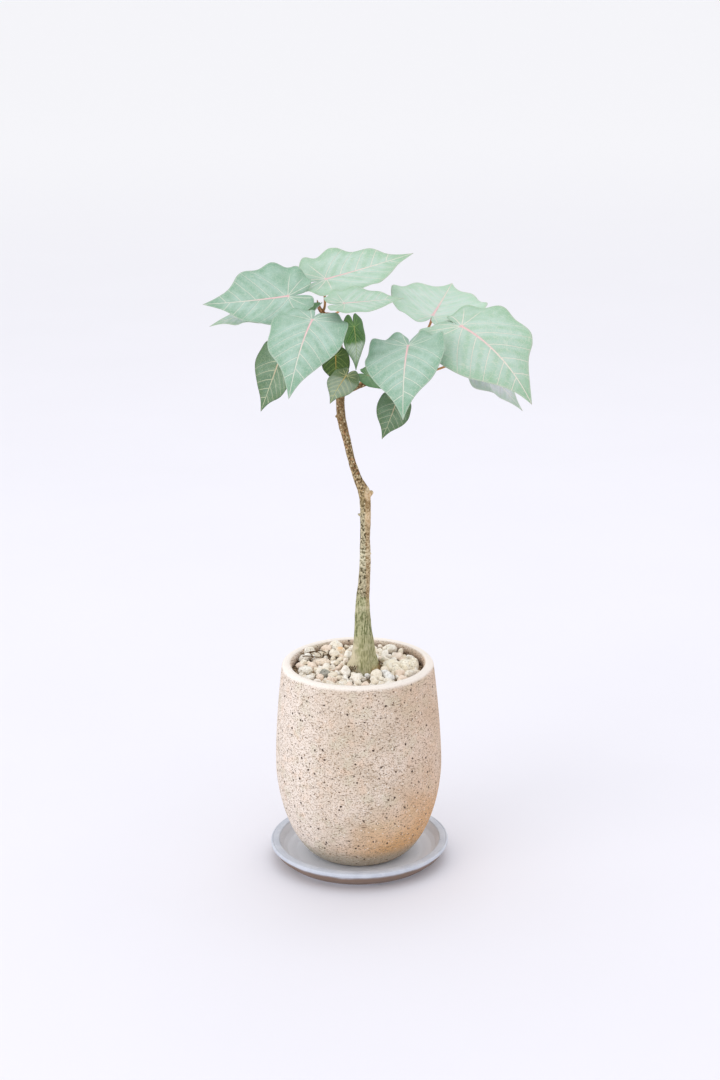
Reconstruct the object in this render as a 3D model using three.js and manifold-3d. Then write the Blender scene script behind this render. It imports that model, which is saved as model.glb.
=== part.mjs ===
// A young rock fig in an egg-shaped stoneware pot, standing on its saucer.
// Millimetres, +Z up. The origin is the middle of the saucer's flat underside.
import * as THREE from 'three';
import { mergeVertices } from 'three/addons/utils/BufferGeometryUtils.js';
import Module from 'manifold-3d';

const wasm = await Module();
wasm.setup();

// Driving sizes of the saucer and the pot.
const SEAT = 0.3; // gap between pieces that touch
const SAUCER_RADIUS = 81;
const SAUCER_HEIGHT = 18;
const SAUCER_FOOT = 62;
const SAUCER_FLOOR = 6;
const SAUCER_LIP = 8;
const SAUCER_RIM_EDGE = 3.4;
const POT_BELLY = 75;
const POT_BELLY_Z = 93.5;
const POT_FOOT = 36;
const POT_FOOT_Z = SAUCER_FLOOR + SEAT;
const POT_MOUTH = 68.2;
const POT_MOUTH_Z = 184.5;
const POT_WALL = 9.2;
const POT_FLOOR_Z = 17;
const POT_FLOOR_RADIUS = 37.2;
const DRAIN_HOLE = 6;
const ROUND_SIDES = 40;

// Driving sizes of what fills the pot.
const SOIL_TOP = 171.5;
const CROWN_X = 6.6; // the stem stands a little off the pot's axis
const CROWN_HOLE = 19;
const CROWN_HOLE_Z = 146.5;
const BED_TOP = 178.5;
const BED_RADIUS = 59;
const PEBBLE_COUNT = 74;

// Driving sizes of the leaves.
const BLADE_THICKNESS = 0.9;
const STALK_SIDES = 6;
const STALK_STEPS = 7;

const part = new THREE.Group();

// Adds one closed piece with its own finish.
function addPiece(name, geometry, color, roughness) {
  const material = new THREE.MeshStandardMaterial({ color, roughness, metalness: 0 });
  const mesh = new THREE.Mesh(geometry, material);
  mesh.name = name;
  part.add(mesh);
}

// A repeatable stream of random numbers from 0 to 1.
function randomStream(seed) {
  let state = seed;
  return () => {
    state = (state * 1664525 + 1013904223) % 4294967296;
    return state / 4294967296;
  };
}

// Turns a closed triangle mesh into a solid for joining and cutting.
function toSolid(geometry) {
  const bare = geometry.clone();
  bare.deleteAttribute('normal');
  bare.deleteAttribute('uv');
  const merged = mergeVertices(bare, 1e-4);
  const mesh = new wasm.Mesh({
    numProp: 3,
    vertProperties: new Float32Array(merged.attributes.position.array),
    triVerts: new Uint32Array(merged.index.array),
  });
  return new wasm.Manifold(mesh);
}

// A straight upright round cutter about the stem's foot.
function crownCutter(radius, bottom, top) {
  const cutter = new THREE.CylinderGeometry(radius, radius, top - bottom, 32);
  cutter.rotateX(Math.PI / 2);
  cutter.translate(CROWN_X, 0, (bottom + top) / 2);
  return toSolid(cutter);
}

// The largest body of a solid, without any pocket shut inside it.
function outerBody(solid) {
  return solid.decompose().reduce((best, body) => (body.volume() > best.volume() ? body : best));
}

// Turns a solid back into a triangle mesh.
function toGeometry(solid) {
  const mesh = solid.getMesh();
  const geometry = new THREE.BufferGeometry();
  geometry.setAttribute('position', new THREE.BufferAttribute(new Float32Array(mesh.vertProperties), 3));
  geometry.setIndex(new THREE.BufferAttribute(new Uint32Array(mesh.triVerts), 1));
  geometry.computeVertexNormals();
  return geometry;
}

// A round piece: [radius, height] points turned about the upright axis.
function turned(profile) {
  const points = profile.map(([radius, z]) => new THREE.Vector2(radius, z));
  const geometry = new THREE.LatheGeometry(points, ROUND_SIDES);
  geometry.rotateX(Math.PI / 2);
  return geometry;
}

// Saucer: flat foot, side that leans out, flat rim with crisp edges, dished floor.
function makeSaucer() {
  const rimInside = SAUCER_RADIUS - SAUCER_LIP;
  const rimBottom = SAUCER_HEIGHT - SAUCER_RIM_EDGE;
  const corner = 0.8; // how far the rim's corners are cut back
  const innerFloor = SAUCER_FOOT - 4;
  const profile = [
    [0, 0],
    [SAUCER_FOOT, 0],
    [SAUCER_FOOT + 8, 3],
    [SAUCER_FOOT + 14.5, 8.4],
    [SAUCER_RADIUS - 2 * corner, rimBottom - corner],
    [SAUCER_RADIUS, rimBottom],
    [SAUCER_RADIUS, SAUCER_HEIGHT - corner],
    [SAUCER_RADIUS - corner, SAUCER_HEIGHT],
    [rimInside + corner, SAUCER_HEIGHT],
    [rimInside, SAUCER_HEIGHT - corner],
    [rimInside - 3.4, SAUCER_FLOOR + 5.4],
    [innerFloor + 8, SAUCER_FLOOR + 2.4],
    [innerFloor, SAUCER_FLOOR],
    [0, SAUCER_FLOOR],
  ];
  addPiece('saucer', turned(profile), '#b9c4cf', 0.55);
}

// Outer radius of the pot at a height: an egg, blunt below and drawn in above.
function potRadius(z) {
  if (z > POT_BELLY_Z) {
    const rise = (z - POT_BELLY_Z) / (POT_MOUTH_Z - POT_BELLY_Z);
    return POT_MOUTH + (POT_BELLY - POT_MOUTH) * (1 - rise ** 1.63);
  }
  const drop = (POT_BELLY_Z - z) / (POT_BELLY_Z - POT_FOOT_Z);
  return POT_FOOT + (POT_BELLY - POT_FOOT) * (1 - drop ** 1.8) ** (1 / 1.8);
}

// Heights at which the pot's wall bends enough to need a point, foot first.
const POT_HEIGHTS = [9, 15, 26, 42, 64, 93.5, 124, 156];

// Points of the wall's inner face from the floor up, moved in by a gap.
function wallInside(gap) {
  return POT_HEIGHTS.filter((z) => z > POT_FLOOR_Z + 3).map((z) => [potRadius(z) - POT_WALL - gap, z]);
}

// The round of a lip as points, from its outer side over the top to its inner side.
function lipRound(centreRadius, centreZ, size) {
  const steps = 6;
  const points = [];
  for (let i = 0; i <= steps; i += 1) {
    const angle = (Math.PI * i) / steps;
    points.push([centreRadius + size * Math.cos(angle), centreZ + size * Math.sin(angle)]);
  }
  return points;
}

// Pot: egg-shaped wall of even thickness with a rounded lip and a drain hole.
function makePot() {
  const lipHalf = POT_WALL / 2;
  const profile = [
    [DRAIN_HOLE, POT_FOOT_Z],
    [POT_FOOT, POT_FOOT_Z],
    ...POT_HEIGHTS.map((z) => [potRadius(z), z]),
    ...lipRound(POT_MOUTH - lipHalf, POT_MOUTH_Z, lipHalf),
    ...wallInside(0).reverse(),
    [POT_FLOOR_RADIUS, POT_FLOOR_Z],
    [DRAIN_HOLE, POT_FLOOR_Z],
    [DRAIN_HOLE, POT_FOOT_Z],
  ];
  addPiece('pot', turned(profile), '#d9cbbd', 0.85);
}

// Soil: fills the pot up to below the pebbles, with a plain hole for the root crown.
function makeSoil() {
  const gap = 2 * SEAT;
  const profile = [
    [0, POT_FLOOR_Z + SEAT],
    [POT_FLOOR_RADIUS - gap, POT_FLOOR_Z + SEAT],
    ...wallInside(gap),
    [potRadius(SOIL_TOP) - POT_WALL - gap, SOIL_TOP],
    [0, SOIL_TOP],
  ];
  const hole = crownCutter(CROWN_HOLE, CROWN_HOLE_Z, SOIL_TOP + 1);
  addPiece('soil', toGeometry(toSolid(turned(profile)).subtract(hole)), '#3a2c22', 1);
}

// One rough stone: a coarse ball with pushed corners, then squashed and turned.
function roughStone(centre, size, random) {
  const ball = new THREE.IcosahedronGeometry(1, 0);
  const geometry = mergeVertices(ball.deleteAttribute('normal').deleteAttribute('uv'));
  const corners = geometry.attributes.position;
  for (let i = 0; i < corners.count; i += 1) {
    const push = 0.86 + 0.22 * random();
    corners.setXYZ(i, corners.getX(i) * push, corners.getY(i) * push, corners.getZ(i) * push);
  }
  geometry.rotateX(random() * Math.PI);
  geometry.rotateZ(random() * Math.PI);
  geometry.scale(size[0], size[1], size[2]);
  geometry.rotateZ(random() * Math.PI);
  geometry.translate(centre[0], centre[1], centre[2]);
  return geometry;
}

// Places on the dressing that single large stones take up: [x, y, clear radius].
const LARGE_STONES = {
  pale: [39, 3, 21],
  grey: [-30, -16.5, 7.5],
};

// True where the stem or a large stone stands, so that no pebble goes there.
function isTaken(x, y) {
  const clearance = 4;
  const places = [[CROWN_X, 0, CROWN_HOLE], ...Object.values(LARGE_STONES)];
  return places.some(([px, py, clear]) => Math.hypot(x - px, y - py) < clear + clearance);
}

// Gravel: a bed with rough pebbles sunk into it, in a spiral round the stem.
function makeGravel() {
  const random = randomStream(11);
  let solid = toSolid(turned([
    [0, SOIL_TOP + SEAT],
    [BED_RADIUS, SOIL_TOP + SEAT],
    [BED_RADIUS, BED_TOP],
    [0, BED_TOP],
  ]));
  const innerEdge = 14;
  const outerEdge = 52.5;
  const goldenAngle = 2.39996;
  for (let i = 0; i < PEBBLE_COUNT; i += 1) {
    const share = (i + 0.5) / PEBBLE_COUNT;
    const reach = Math.sqrt(innerEdge ** 2 + (outerEdge ** 2 - innerEdge ** 2) * share);
    const angle = i * goldenAngle + 0.25 * (random() - 0.5);
    const x = reach * Math.cos(angle);
    const y = reach * Math.sin(angle);
    const size = 4.4 + 3 * random();
    if (isTaken(x, y)) {
      continue;
    }
    const centre = [x, y, BED_TOP + 0.5 + 1.4 * random()];
    solid = solid.add(toSolid(roughStone(centre, [size * 1.1, size * 0.9, size * 0.78], random)));
  }
  const aboveStones = BED_TOP + 20;
  solid = solid.subtract(crownCutter(CROWN_HOLE + 2 * SEAT, SOIL_TOP - 1, aboveStones));
  solid = solid.subtract(crownCutter(POT_BELLY, SOIL_TOP - 20, SOIL_TOP + SEAT));
  addPiece('gravel', toGeometry(outerBody(solid)), '#efe6d6', 0.95);
}

// A stone cut flat just above the bed that it lies on.
function layOnBed(solid, x, y) {
  const size = 80;
  const below = new THREE.BoxGeometry(size, size, size).translate(x, y, BED_TOP + SEAT - size / 2);
  return toGeometry(solid.subtract(toSolid(below)));
}

// The pale lumpy stone: three rough lumps grown together.
function makePaleStone() {
  const random = randomStream(5);
  const [x, y] = LARGE_STONES.pale;
  const lumps = [
    [x - 8, y + 1, 9.5],
    [x + 4, y - 4, 9],
    [x + 8, y + 5, 8.5],
  ];
  let solid = null;
  for (const [lumpX, lumpY, size] of lumps) {
    const lump = toSolid(roughStone([lumpX, lumpY, BED_TOP + 6.5], [size, size, size], random));
    solid = solid ? solid.add(lump) : lump;
  }
  addPiece('stone_pale', layOnBed(solid, x, y), '#e9dfcb', 0.95);
}

// The small grey stone at the left of the stem.
function makeGreyStone() {
  const [x, y] = LARGE_STONES.grey;
  const stone = toSolid(roughStone([x, y, BED_TOP + 3.4], [5.4, 4.8, 4.4], randomStream(8)));
  addPiece('stone_grey', layOnBed(stone, x, y), '#8d9794', 0.9);
}

// A tapering round limb through knots [x, y, z, radius].
function makeLimb(knots) {
  const curve = new THREE.CatmullRomCurve3(knots.map(([x, y, z]) => new THREE.Vector3(x, y, z)));
  const last = knots.length - 1;
  const radiusAt = (t) => {
    const place = Math.min(t * last, last - 1e-6);
    const index = Math.floor(place);
    return THREE.MathUtils.lerp(knots[index][3], knots[index + 1][3], place - index);
  };
  return { curve, radiusAt, last };
}

// Closed tube of rings along a limb. The ridge function swells a ring at an angle and height.
function limbGeometry(limb, sides, stepsPerKnot, ridge = () => 1) {
  const steps = limb.last * stepsPerKnot;
  const positions = [];
  const faces = [];
  for (let i = 0; i <= steps; i += 1) {
    const centre = limb.curve.getPoint(i / steps);
    const along = limb.curve.getTangent(i / steps);
    const side = new THREE.Vector3(0, 1, 0).cross(along).normalize();
    const front = new THREE.Vector3().crossVectors(along, side);
    for (let k = 0; k < sides; k += 1) {
      const angle = (2 * Math.PI * k) / sides;
      const radius = limb.radiusAt(i / steps) * ridge(angle, centre.z);
      const point = centre.clone();
      point.addScaledVector(side, radius * Math.cos(angle));
      point.addScaledVector(front, radius * Math.sin(angle));
      positions.push(point.x, point.y, point.z);
    }
  }
  const firstCap = (steps + 1) * sides;
  for (const end of [0, 1]) {
    const centre = limb.curve.getPoint(end);
    positions.push(centre.x, centre.y, centre.z);
  }
  for (let k = 0; k < sides; k += 1) {
    const next = (k + 1) % sides;
    for (let i = 0; i < steps; i += 1) {
      const low = i * sides;
      const high = low + sides;
      faces.push(low + k, low + next, high + next, low + k, high + next, high + k);
    }
    faces.push(firstCap, next, k);
    faces.push(firstCap + 1, steps * sides + k, steps * sides + next);
  }
  const geometry = new THREE.BufferGeometry();
  geometry.setAttribute('position', new THREE.Float32BufferAttribute(positions, 3));
  geometry.setIndex(faces);
  return geometry;
}

// Limbs of the tree, each a list of [x, y, z, radius]. The stem starts in its hole in the soil.
const LIMBS = {
  stem: makeLimb([
    [7, 0, 147, 14.5], [7, 0, 158, 15.2], [6.6, 0, 168, 14.6], [6.4, 0, 178, 13.4],
    [5.6, 0, 188, 12.4], [5.4, 0, 198, 10.4], [5.4, 0, 209, 8.8], [4.9, 0, 227, 7.2],
    [5.1, 0, 246, 6], [6.6, 1, 265, 5.1], [7.6, 2, 284, 4.9], [7.7, 2, 302, 4.5],
    [8.2, 2, 320, 4.7], [8, 2, 338, 4.8], [6.7, 1, 347, 5.2], [2.6, 0, 356, 3.8],
    [-3.5, 0, 375, 3.1], [-7.4, 0, 393, 3.4], [-11.6, 0, 411, 3.8], [-12.6, 0, 429, 3.7],
    [-10.6, 0, 446, 3.6],
  ]),
  leader: makeLimb([
    [-11.5, 0, 440, 3.4], [-10.3, 0, 452, 3.3], [-13.2, 1, 476, 3],
    [-19, 2, 494, 2.6], [-28.5, 2, 507, 1.9],
  ]),
  branch: makeLimb([
    [-12.4, 0, 432, 2.2], [-4, 0, 437.5, 2.5], [10, 1, 443, 2.4],
    [28, 2, 447, 2.3], [46, 3, 457, 2.2], [60, 3, 477, 1.8],
  ]),
};

// Short stubs and buds on the stem: [from, to, radius at the foot, radius at the end].
const STUBS = [
  [[9, 1, 341], [14.2, -1.5, 346.5], 3, 1.8],
  [[-11, 0, 412], [-17, -2, 415], 1.9, 0.9],
  [[-1, 0, 439], [4.5, -3.6, 441], 1.8, 1.3],
  [[7, 2, 322], [1.6, 0.2, 326], 1.8, 0.8],
  [[7, 1, 286], [12.8, -0.6, 290], 1.9, 0.8],
];

// Roots that leave the crown: [angle in degrees, reach, radius at the crown].
const SIDE_ROOTS = [
  [190, 19.5, 3.6],
  [262, 17, 3],
  [318, 17.5, 3.6],
  [28, 17.2, 3.2],
  [112, 17.4, 3.4],
];

// Trunk: stem, forks, stubs and the ridged crown with its side roots, as one grown piece.
function makeTrunk() {
  const crownTop = 232; // the ridges of the crown fade out at this height
  const ridge = (angle, z) => {
    const fade = THREE.MathUtils.clamp((crownTop - z) / (crownTop - 170), 0, 1);
    return 1 + fade * (0.06 * Math.cos(5 * angle + 0.6) + 0.03 * Math.cos(8 * angle + 2));
  };
  let solid = toSolid(limbGeometry(LIMBS.stem, 16, 1, ridge));
  solid = solid.add(toSolid(limbGeometry(LIMBS.leader, 10, 2)));
  solid = solid.add(toSolid(limbGeometry(LIMBS.branch, 10, 2)));
  for (const [from, to, foot, end] of STUBS) {
    const middle = from.map((value, axis) => (value + to[axis]) / 2);
    const stub = makeLimb([[...from, foot], [...middle, (foot + end) / 2], [...to, end]]);
    solid = solid.add(toSolid(limbGeometry(stub, 8, 1)));
  }
  const bud = makeLimb([[-28, 2, 506, 1.9], [-30, 1.8, 510, 1.7], [-31.4, 1.5, 516, 0.4]]);
  solid = solid.add(toSolid(limbGeometry(bud, 8, 2)));
  for (const [degrees, reach, foot] of SIDE_ROOTS) {
    const angle = THREE.MathUtils.degToRad(degrees);
    const at = (radius, z) => [6.4 + radius * Math.cos(angle), radius * Math.sin(angle), z];
    const root = makeLimb([
      [...at(5, 200), foot * 0.5],
      [...at(reach - 6.5, 186), foot * 0.9],
      [...at(reach - 5, 176), foot],
      [...at(reach - 8, 163), foot * 0.7],
    ]);
    solid = solid.add(toSolid(limbGeometry(root, 8, 2)));
  }
  addPiece('trunk', toGeometry(outerBody(solid)), '#a39f86', 0.9);
}

// Edge of a heart-shaped blade, as the distance from its stalk in shares of its length.
// The angle is 0 at the drawn-out tip and half a turn at the notch where the stalk joins.
function bladeEdge(angle) {
  const turn = Math.acos(Math.cos(angle));
  const body = 0.3 + 0.095 * Math.sin(turn) + 0.375 * Math.exp(-((turn / 1.1) ** 2));
  const notch = 1 - Math.exp(-(Math.PI - turn + 0.02) / 0.15);
  return body * notch + 0.325 * Math.exp(-turn / 0.14);
}

// Axes of a leaf: along the midrib, to its left, and out of its upper face.
function leafAxes(leaf) {
  const azimuth = THREE.MathUtils.degToRad(leaf.azimuth);
  const pitch = THREE.MathUtils.degToRad(leaf.pitch);
  const roll = THREE.MathUtils.degToRad(leaf.roll);
  const along = new THREE.Vector3(
    Math.cos(azimuth) * Math.cos(pitch),
    Math.sin(azimuth) * Math.cos(pitch),
    -Math.sin(pitch),
  );
  const level = new THREE.Vector3(-Math.sin(azimuth), Math.cos(azimuth), 0);
  const above = new THREE.Vector3().crossVectors(along, level);
  const left = level.clone().multiplyScalar(Math.cos(roll)).addScaledVector(above, Math.sin(roll));
  const up = above.clone().multiplyScalar(Math.cos(roll)).addScaledVector(level, -Math.sin(roll));
  return { along, left, up };
}

// Point of the blade's middle surface at a share of the way from stalk to edge, at an angle.
// The edge ripples, but not at the tip nor at the notch. The offset lifts the point off that surface.
function bladePoint(leaf, axes, share, angle, offset) {
  const calm = Math.min(1, Math.abs(angle) / 0.5, (Math.PI - Math.abs(angle)) / 0.4);
  const ripple = calm * Math.sin(leaf.waves * angle + leaf.phase);
  const reach = bladeEdge(angle) * leaf.length * share * (1 + leaf.scallop * share * share * ripple);
  const x = reach * Math.cos(angle);
  const y = reach * Math.sin(angle) * leaf.width;
  const soft = 0.08 * leaf.length;
  const fold = Math.tan(THREE.MathUtils.degToRad(leaf.fold)) * (Math.hypot(y, soft) - soft);
  const lift = offset + fold + leaf.wave * share ** 3 * ripple;
  const curl = THREE.MathUtils.degToRad(leaf.bend) / leaf.length;
  const turn = curl * x;
  const forward = Math.sin(turn) / curl + lift * Math.sin(turn);
  const rise = -(1 - Math.cos(turn)) / curl + lift * Math.cos(turn);
  const point = new THREE.Vector3(...leaf.stalkTop);
  point.addScaledVector(axes.along, forward);
  point.addScaledVector(axes.left, y);
  point.addScaledVector(axes.up, rise);
  return point;
}

// Blade: the same fan and rings of triangles on both faces, closed along the edge.
function bladeGeometry(leaf) {
  const axes = leafAxes(leaf);
  const sides = leaf.length > 50 ? 38 : 22;
  const rings = 3;
  const positions = [];
  const faces = [];
  const addPair = (share, angle) => {
    for (const offset of [BLADE_THICKNESS / 2, -BLADE_THICKNESS / 2]) {
      positions.push(...bladePoint(leaf, axes, share, angle, offset));
    }
  };
  addPair(0, 0);
  for (let ring = 1; ring <= rings; ring += 1) {
    for (let k = 0; k < sides; k += 1) {
      const turn = (2 * k) / sides - 1;
      addPair(ring / rings, Math.PI * turn - 0.3 * Math.sin(2 * Math.PI * turn));
    }
  }
  const vertex = (ring, k) => 2 * (1 + (ring - 1) * sides + (k % sides));
  const addFace = (a, b, c) => {
    faces.push(a, b, c);
    faces.push(a + 1, c + 1, b + 1);
  };
  for (let k = 0; k < sides; k += 1) {
    addFace(0, vertex(1, k), vertex(1, k + 1));
    for (let ring = 1; ring < rings; ring += 1) {
      addFace(vertex(ring, k), vertex(ring + 1, k), vertex(ring + 1, k + 1));
      addFace(vertex(ring, k), vertex(ring + 1, k + 1), vertex(ring, k + 1));
    }
    const edge = vertex(rings, k);
    const next = vertex(rings, k + 1);
    faces.push(edge, edge + 1, next + 1, edge, next + 1, next);
  }
  const geometry = new THREE.BufferGeometry();
  geometry.setAttribute('position', new THREE.Float32BufferAttribute(positions, 3));
  geometry.setIndex(faces);
  return geometry;
}

// Stalk: a round tube from a limb's side to just under the blade's notch.
function stalkGeometry(leaf) {
  const axes = leafAxes(leaf);
  const limb = LIMBS[leaf.limb];
  const arrive = axes.along.clone().multiplyScalar(0.45).addScaledVector(axes.up, 0.9).normalize();
  const top = new THREE.Vector3(...leaf.stalkTop);
  top.addScaledVector(arrive, -(BLADE_THICKNESS / 2 + SEAT + 0.7 * leaf.stalk) / arrive.dot(axes.up));
  const centre = limb.curve.getPoint(leaf.at);
  const tangent = limb.curve.getTangent(leaf.at);
  const leave = top.clone().sub(centre);
  leave.addScaledVector(tangent, -leave.dot(tangent)).normalize();
  const foot = centre.clone().addScaledVector(leave, limb.radiusAt(leaf.at) + SEAT);
  const span = foot.distanceTo(top);
  const curve = new THREE.CubicBezierCurve3(
    foot,
    foot.clone().addScaledVector(leave, span * 0.3),
    top.clone().addScaledVector(arrive, -span * 0.35),
    top,
  );
  const section = new THREE.Shape();
  for (let k = 0; k < STALK_SIDES; k += 1) {
    const angle = (2 * Math.PI * k) / STALK_SIDES;
    const place = [leaf.stalk * Math.cos(angle), leaf.stalk * Math.sin(angle)];
    if (k === 0) {
      section.moveTo(...place);
    } else {
      section.lineTo(...place);
    }
  }
  const options = { steps: STALK_STEPS, bevelEnabled: false, extrudePath: curve };
  return new THREE.ExtrudeGeometry(section, options);
}

const SUNLIT = '#b5d3c1';
const GLAUCOUS = '#9dbfae';
const SHADED = '#5f7d5c';

// The leaves, the lowest numbers at the top left of the crown. Angles are in degrees.
// The stalk leaves its limb at a share of the limb's length and ends at stalkTop.
// azimuth turns from +X towards +Y, pitch tips the blade down, roll lifts its left half,
// bend is the droop from stalk to tip and fold lifts both halves.
// wave is the height of the ripples in the edge, and waves counts them all round it.
// scallop is how far the edge swings in and out with them, as a share of its reach.
const LEAVES = [
  { limb: 'leader', at: 0.9, stalk: 1.3, stalkTop: [-56, -6, 520.6], azimuth: 184, pitch: 7, roll: -37,
    length: 72.6, width: 0.99, bend: -8, fold: 11, color: SUNLIT,
    wave: 2.1, scallop: 0.02, waves: 9, phase: 0.8 },
  { limb: 'leader', at: 0.78, stalk: 1.2, stalkTop: [-72, 10, 504.5], azimuth: 186, pitch: 3, roll: -12,
    length: 54, width: 0.9, bend: 20, fold: 4, color: GLAUCOUS,
    wave: 1.6, scallop: 0.03, waves: 8, phase: 1.2 },
  { limb: 'leader', at: 0.72, stalk: 1.4, stalkTop: [-34.5, -56, 509.6], azimuth: -105, pitch: 17, roll: -8,
    length: 80.9, width: 0.84, bend: 57, fold: -5, color: SUNLIT,
    wave: 1.3, scallop: 0.03, waves: 8, phase: 0.5 },
  { limb: 'leader', at: 0.97, stalk: 1.3, stalkTop: [-23.5, 23, 529.8], azimuth: 21, pitch: -10, roll: 15,
    length: 82.7, width: 1.03, bend: -4, fold: 7, color: SUNLIT,
    wave: 2, scallop: 0.04, waves: 9, phase: 4.6 },
  { limb: 'leader', at: 0.925, stalk: 1.1, stalkTop: [-8.1, -36, 519.6], azimuth: 10, pitch: -2, roll: 14,
    length: 51, width: 1.05, bend: -1, fold: 7, color: SUNLIT,
    wave: 0.9, scallop: 0.04, waves: 8, phase: 5.7 },
  { limb: 'branch', at: 0.99, stalk: 1.3, stalkTop: [68, 20, 497.8], azimuth: 76, pitch: -8, roll: 10,
    length: 81.8, width: 1.09, bend: -4, fold: 16, color: SUNLIT,
    wave: 1.3, scallop: 0.03, waves: 9, phase: 4.4 },
  { limb: 'branch', at: 0.93, stalk: 1.4, stalkTop: [90.6, -22, 496.3], azimuth: -47, pitch: 13, roll: 18,
    length: 95.7, width: 1.02, bend: 57, fold: -4, color: SUNLIT,
    wave: 1.9, scallop: 0.03, waves: 8, phase: 2.1 },
  { limb: 'branch', at: 0.76, stalk: 1.2, stalkTop: [101.3, 26, 460.6], azimuth: -27, pitch: 38, roll: 2,
    length: 66.6, width: 0.91, bend: 8, fold: -10, color: GLAUCOUS,
    wave: 3.2, scallop: 0.03, waves: 9, phase: 6.1 },
  { limb: 'branch', at: 0.66, stalk: 1.4, stalkTop: [44.9, -48, 485.4], azimuth: -98, pitch: 16, roll: 7,
    length: 83.1, width: 0.86, bend: 40, fold: 8, color: SUNLIT,
    wave: 2.7, scallop: 0.02, waves: 7, phase: 1.2 },
  { limb: 'leader', at: 0.58, stalk: 0.9, stalkTop: [-0.2, -18, 496], azimuth: -48, pitch: 78, roll: -16,
    length: 37.2, width: 0.99, bend: 14, fold: -4, color: SHADED,
    wave: 0.2, scallop: 0.02, waves: 7, phase: 1.2 },
  { limb: 'leader', at: 0.52, stalk: 0.8, stalkTop: [-16, -6, 468.5], azimuth: -68, pitch: 90, roll: 25,
    length: 27.3, width: 0.95, bend: 10, fold: 1, color: SHADED,
    wave: 0.6, scallop: 0.01, waves: 7, phase: 1.3 },
  { limb: 'branch', at: 0.17, stalk: 0.8, stalkTop: [-7.2, -27, 455.7], azimuth: -130, pitch: 35, roll: -18,
    length: 28.8, width: 1.01, bend: 26, fold: -9, color: GLAUCOUS,
    wave: 0.6, scallop: 0.01, waves: 7, phase: 1.7 },
  { limb: 'leader', at: 0.42, stalk: 1.1, stalkTop: [-63.7, -16, 468], azimuth: 154, pitch: 68, roll: -67,
    length: 50.9, width: 0.98, bend: -1, fold: 10, color: GLAUCOUS,
    wave: 0.3, scallop: 0.01, waves: 7, phase: 2.5 },
  { limb: 'branch', at: 0.55, stalk: 0.9, stalkTop: [35.3, -16, 429.5], azimuth: -110, pitch: 35, roll: -30,
    length: 36.9, width: 0.86, bend: 30, fold: 0, color: SHADED,
    wave: 0.6, scallop: 0.01, waves: 7, phase: 1.4 },
  { limb: 'branch', at: 0.33, stalk: 0.8, stalkTop: [11.1, -9, 452.1], azimuth: -24, pitch: 17, roll: 27,
    length: 29.9, width: 0.83, bend: 12, fold: 2, color: GLAUCOUS,
    wave: 0.6, scallop: 0.01, waves: 7, phase: 0.2 },
  { limb: 'leader', at: 0.985, stalk: 0.7, stalkTop: [-31, -7, 511], azimuth: 215, pitch: 38, roll: 10,
    length: 18, width: 0.8, bend: 8, fold: 30, color: SHADED,
    wave: 0.2, scallop: 0.03, waves: 6, phase: 0 },
];

// Every blade with its stalk, numbered in the order of the list.
function makeLeaves() {
  LEAVES.forEach((leaf, index) => {
    const number = String(index + 1).padStart(2, '0');
    addPiece(`blade_${number}`, bladeGeometry(leaf), leaf.color, 0.7);
    addPiece(`stalk_${number}`, stalkGeometry(leaf), '#b07a4e', 0.7);
  });
}

makeSaucer();
makePot();
makeSoil();
makeGravel();
makePaleStone();
makeGreyStone();
makeTrunk();
makeLeaves();

export default part;
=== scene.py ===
# %% [markdown]
# # A young rock fig in its pot
#
# The plant is a small tree with a swollen stem, which grows on rocks in the wild. It stands in an egg-shaped
# stoneware pot with a dressing of pebbles, on a round saucer. The solids from the drawing are the frame. Each
# visible piece is made again here on the same sizes, with the detail that a solid for weighing and bumping
# doesn't need. Shapes are written in millimetres and turned into metres where a mesh is made. The camera, the
# lights, the voxels and the pebble tree take metres, as Blender does.

# %% Frame and tools
import math

import bpy
import numpy as np
from mathutils import Matrix, Vector, noise


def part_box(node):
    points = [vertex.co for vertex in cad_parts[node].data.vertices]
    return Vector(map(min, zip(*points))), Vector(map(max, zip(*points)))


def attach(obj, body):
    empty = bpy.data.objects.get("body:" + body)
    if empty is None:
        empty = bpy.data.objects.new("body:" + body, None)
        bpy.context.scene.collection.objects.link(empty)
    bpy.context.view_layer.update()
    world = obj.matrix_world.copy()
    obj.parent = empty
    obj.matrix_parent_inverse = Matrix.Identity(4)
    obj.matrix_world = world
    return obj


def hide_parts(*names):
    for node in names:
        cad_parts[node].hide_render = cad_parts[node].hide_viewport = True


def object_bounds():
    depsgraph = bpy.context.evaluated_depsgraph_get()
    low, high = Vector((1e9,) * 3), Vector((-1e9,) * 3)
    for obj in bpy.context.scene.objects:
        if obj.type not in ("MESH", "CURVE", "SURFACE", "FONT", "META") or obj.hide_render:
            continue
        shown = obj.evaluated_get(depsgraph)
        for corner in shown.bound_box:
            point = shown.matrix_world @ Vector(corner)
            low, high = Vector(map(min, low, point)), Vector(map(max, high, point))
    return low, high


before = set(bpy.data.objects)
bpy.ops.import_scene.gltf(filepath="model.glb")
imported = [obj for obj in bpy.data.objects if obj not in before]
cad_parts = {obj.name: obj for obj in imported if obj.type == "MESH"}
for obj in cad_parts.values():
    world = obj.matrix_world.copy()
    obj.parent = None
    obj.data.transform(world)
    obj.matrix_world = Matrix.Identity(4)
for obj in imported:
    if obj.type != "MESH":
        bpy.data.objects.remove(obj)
cad_low, cad_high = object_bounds()
MM = 0.001


def add_object(name, data):
    """Puts data in the scene as an object at the origin."""
    made = bpy.data.objects.new(name, data)
    bpy.context.scene.collection.objects.link(made)
    return made


print("The solids reach from", tuple(cad_low), "to", tuple(cad_high))

# %% [markdown]
# ## Camera, floor and light
#
# A long lens about 1.8 m away looks down on the plant a little, and leans by half a degree, as a hand-held
# camera does. The floor is plain and pale. A studio has large soft lights, which could be many small lamps,
# but a few area lights and a bright sky of one colour give the same soft shadows with less noise.

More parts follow.
